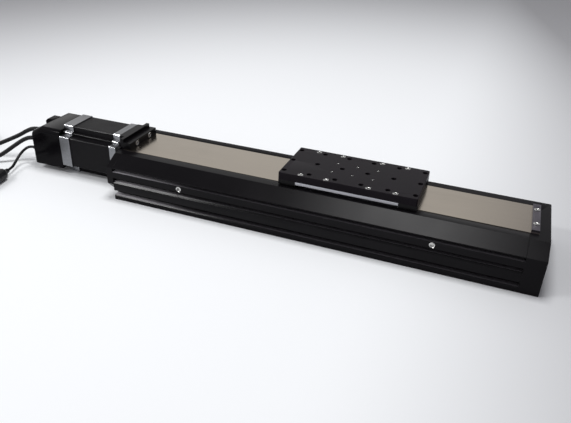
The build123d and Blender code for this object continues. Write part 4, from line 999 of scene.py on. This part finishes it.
# The small connector is one smooth moulding over its pins, rounded at both ends.
aux_end = Vector(aux_route[-1])
aux_heading = (aux_end - Vector(aux_route[-2])).normalized()
aux_body = 0.034
build = bmesh.new()
aux_boot = ribbed(boot_length, 0.0036, 0.0024, 3)
turned(build, aux_boot, aux_end + aux_heading * boot_length, -aux_heading)
aux_steps = [
    (boot_length, 0),
    (boot_length, 0.0036),
    (boot_length + 0.0008, 0.0050),
    (boot_length + 0.0025, 0.0061),
    (boot_length + 0.0050, 0.0065),
    (boot_length + 0.0210, 0.0065),
    (boot_length + 0.0212, 0.0062),
    (boot_length + 0.0222, 0.0062),
    (boot_length + 0.0224, 0.0065),
    (boot_length + 0.0310, 0.0064),
    (boot_length + 0.0330, 0.0059),
    (boot_length + aux_body, 0.0048),
    (boot_length + aux_body, 0.0040),
    (boot_length + aux_body - 0.003, 0.0040),
    (boot_length + aux_body - 0.003, 0),
]
turned(build, aux_steps, aux_end, aux_heading, 32)
aux_piece = new_piece("aux_connector_body", build, [plug_nylon], "base")
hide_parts("aux_connector")

cable(
    "encoder_lead",
    coiled(encoder_route, -1),
    cable_radius,
    ["encoder_cable", "encoder_cable_coil"],
)
cable(
    "motor_lead",
    coiled(motor_route, 1),
    cable_radius,
    ["motor_cable", "motor_cable_coil"],
)
cable(
    "aux_lead",
    [Vector(point) for point in aux_route],
    thin_radius,
    ["aux_cable"],
)

# ---- Room ---------------------------------------------------------------------------------------

# A white table top, painted grey towards its far corners and towards its right: painted shade of
# the light's falloff. Soft light: a large softbox overhead, and a narrow one at the left that
# draws the white lines along the motor's corners.
table, tree, shader = start_material("white_table_painted_falloff")
place = add_node(tree, "ShaderNodeTexCoord")
# Painted shade: the grey grows with distance from the middle, and again towards the right.
spread = add_node(
    tree,
    "ShaderNodeMapping",
    {"Vector": place.outputs["Object"], "Scale": (1.0, 0.75, 1.0)},
)
reach = add_node(tree, "ShaderNodeVectorMath", {0: spread.outputs["Vector"]}, operation="LENGTH")
back = add_node(
    tree,
    "ShaderNodeMapRange",
    {"Value": reach.outputs["Value"], "From Min": 0.35, "From Max": 1.3, "To Max": 1.0},
    interpolation_type="SMOOTHSTEP",
)
across = add_node(tree, "ShaderNodeSeparateXYZ", {"Vector": place.outputs["Object"]})
right = add_node(
    tree,
    "ShaderNodeMapRange",
    {"Value": across.outputs["X"], "From Min": 0.06, "From Max": 0.36, "To Max": 0.9},
    interpolation_type="SMOOTHSTEP",
)
painted_falloff = add_node(
    tree,
    "ShaderNodeMath",
    {0: back.outputs["Result"], 1: right.outputs["Result"]},
    operation="ADD",
)
tint = add_node(
    tree,
    "ShaderNodeMix",
    {6: linear("F8FAFC"), 7: linear("B2B2B5"), 0: painted_falloff.outputs["Value"]},
    data_type="RGBA",
)
tree.links.new(tint.outputs[2], shader.inputs["Base Color"])
shader.inputs["Roughness"].default_value = 0.8
shader.inputs["Specular IOR Level"].default_value = 0.1
table_half = 6.0
build = bmesh.new()
bmesh.ops.create_grid(build, x_segments=1, y_segments=1, size=table_half)
floor = new_piece("table_top", build, [table], None)

# The walls grow darker to the right, which the seal strip shows, and the ceiling is darker too.
world = bpy.data.worlds.new("studio")
world.use_nodes = True
tree = world.node_tree
place = add_node(tree, "ShaderNodeTexCoord")
toward = add_node(tree, "ShaderNodeSeparateXYZ", {"Vector": place.outputs["Generated"]})
turn = add_node(
    tree,
    "ShaderNodeMapRange",
    {"Value": toward.outputs["X"], "From Min": -0.03, "From Max": 0.14},
    interpolation_type="SMOOTHSTEP",
)
walls = add_node(
    tree,
    "ShaderNodeMix",
    {6: linear("F0F0F0"), 7: linear("A8A6AA"), 0: turn.outputs["Result"]},
    data_type="RGBA",
)
rise = add_node(
    tree,
    "ShaderNodeMapRange",
    {"Value": toward.outputs["Z"], "From Min": 0.55, "From Max": 0.8},
    interpolation_type="SMOOTHSTEP",
)
room = add_node(
    tree,
    "ShaderNodeMix",
    {6: walls.outputs[2], 7: linear("8C8C90"), 0: rise.outputs["Result"]},
    data_type="RGBA",
)
tree.links.new(room.outputs[2], tree.nodes["Background"].inputs["Color"])
tree.nodes["Background"].inputs["Strength"].default_value = 0.9
bpy.context.scene.world = world


def softbox(name, place, aim, width, depth, watts):
    """An area lamp whose width lies along the stage."""
    lamp_data = bpy.data.lights.new(name, "AREA")
    lamp_data.shape = "RECTANGLE"
    lamp_data.energy = watts
    lamp_data.size = width
    lamp_data.size_y = depth
    lamp = bpy.data.objects.new(name, lamp_data)
    back = (Vector(place) - Vector(aim)).normalized()
    along = (Vector((1, 0, 0)) - back * back.x).normalized()
    turn = Matrix((along, back.cross(along), back)).transposed()
    lamp.location = place
    lamp.rotation_euler = turn.to_euler()
    bpy.context.collection.objects.link(lamp)


softbox("overhead_softbox", (-0.05, 0.11, 1.4), (0, 0, 0), 0.4, 0.4, 10.0)
softbox("left_softbox", (-0.95, -0.62, 0.98), (-0.18, 0, 0), 0.55, 0.16, 5.0)
bpy.context.scene.view_settings.view_transform = "Standard"
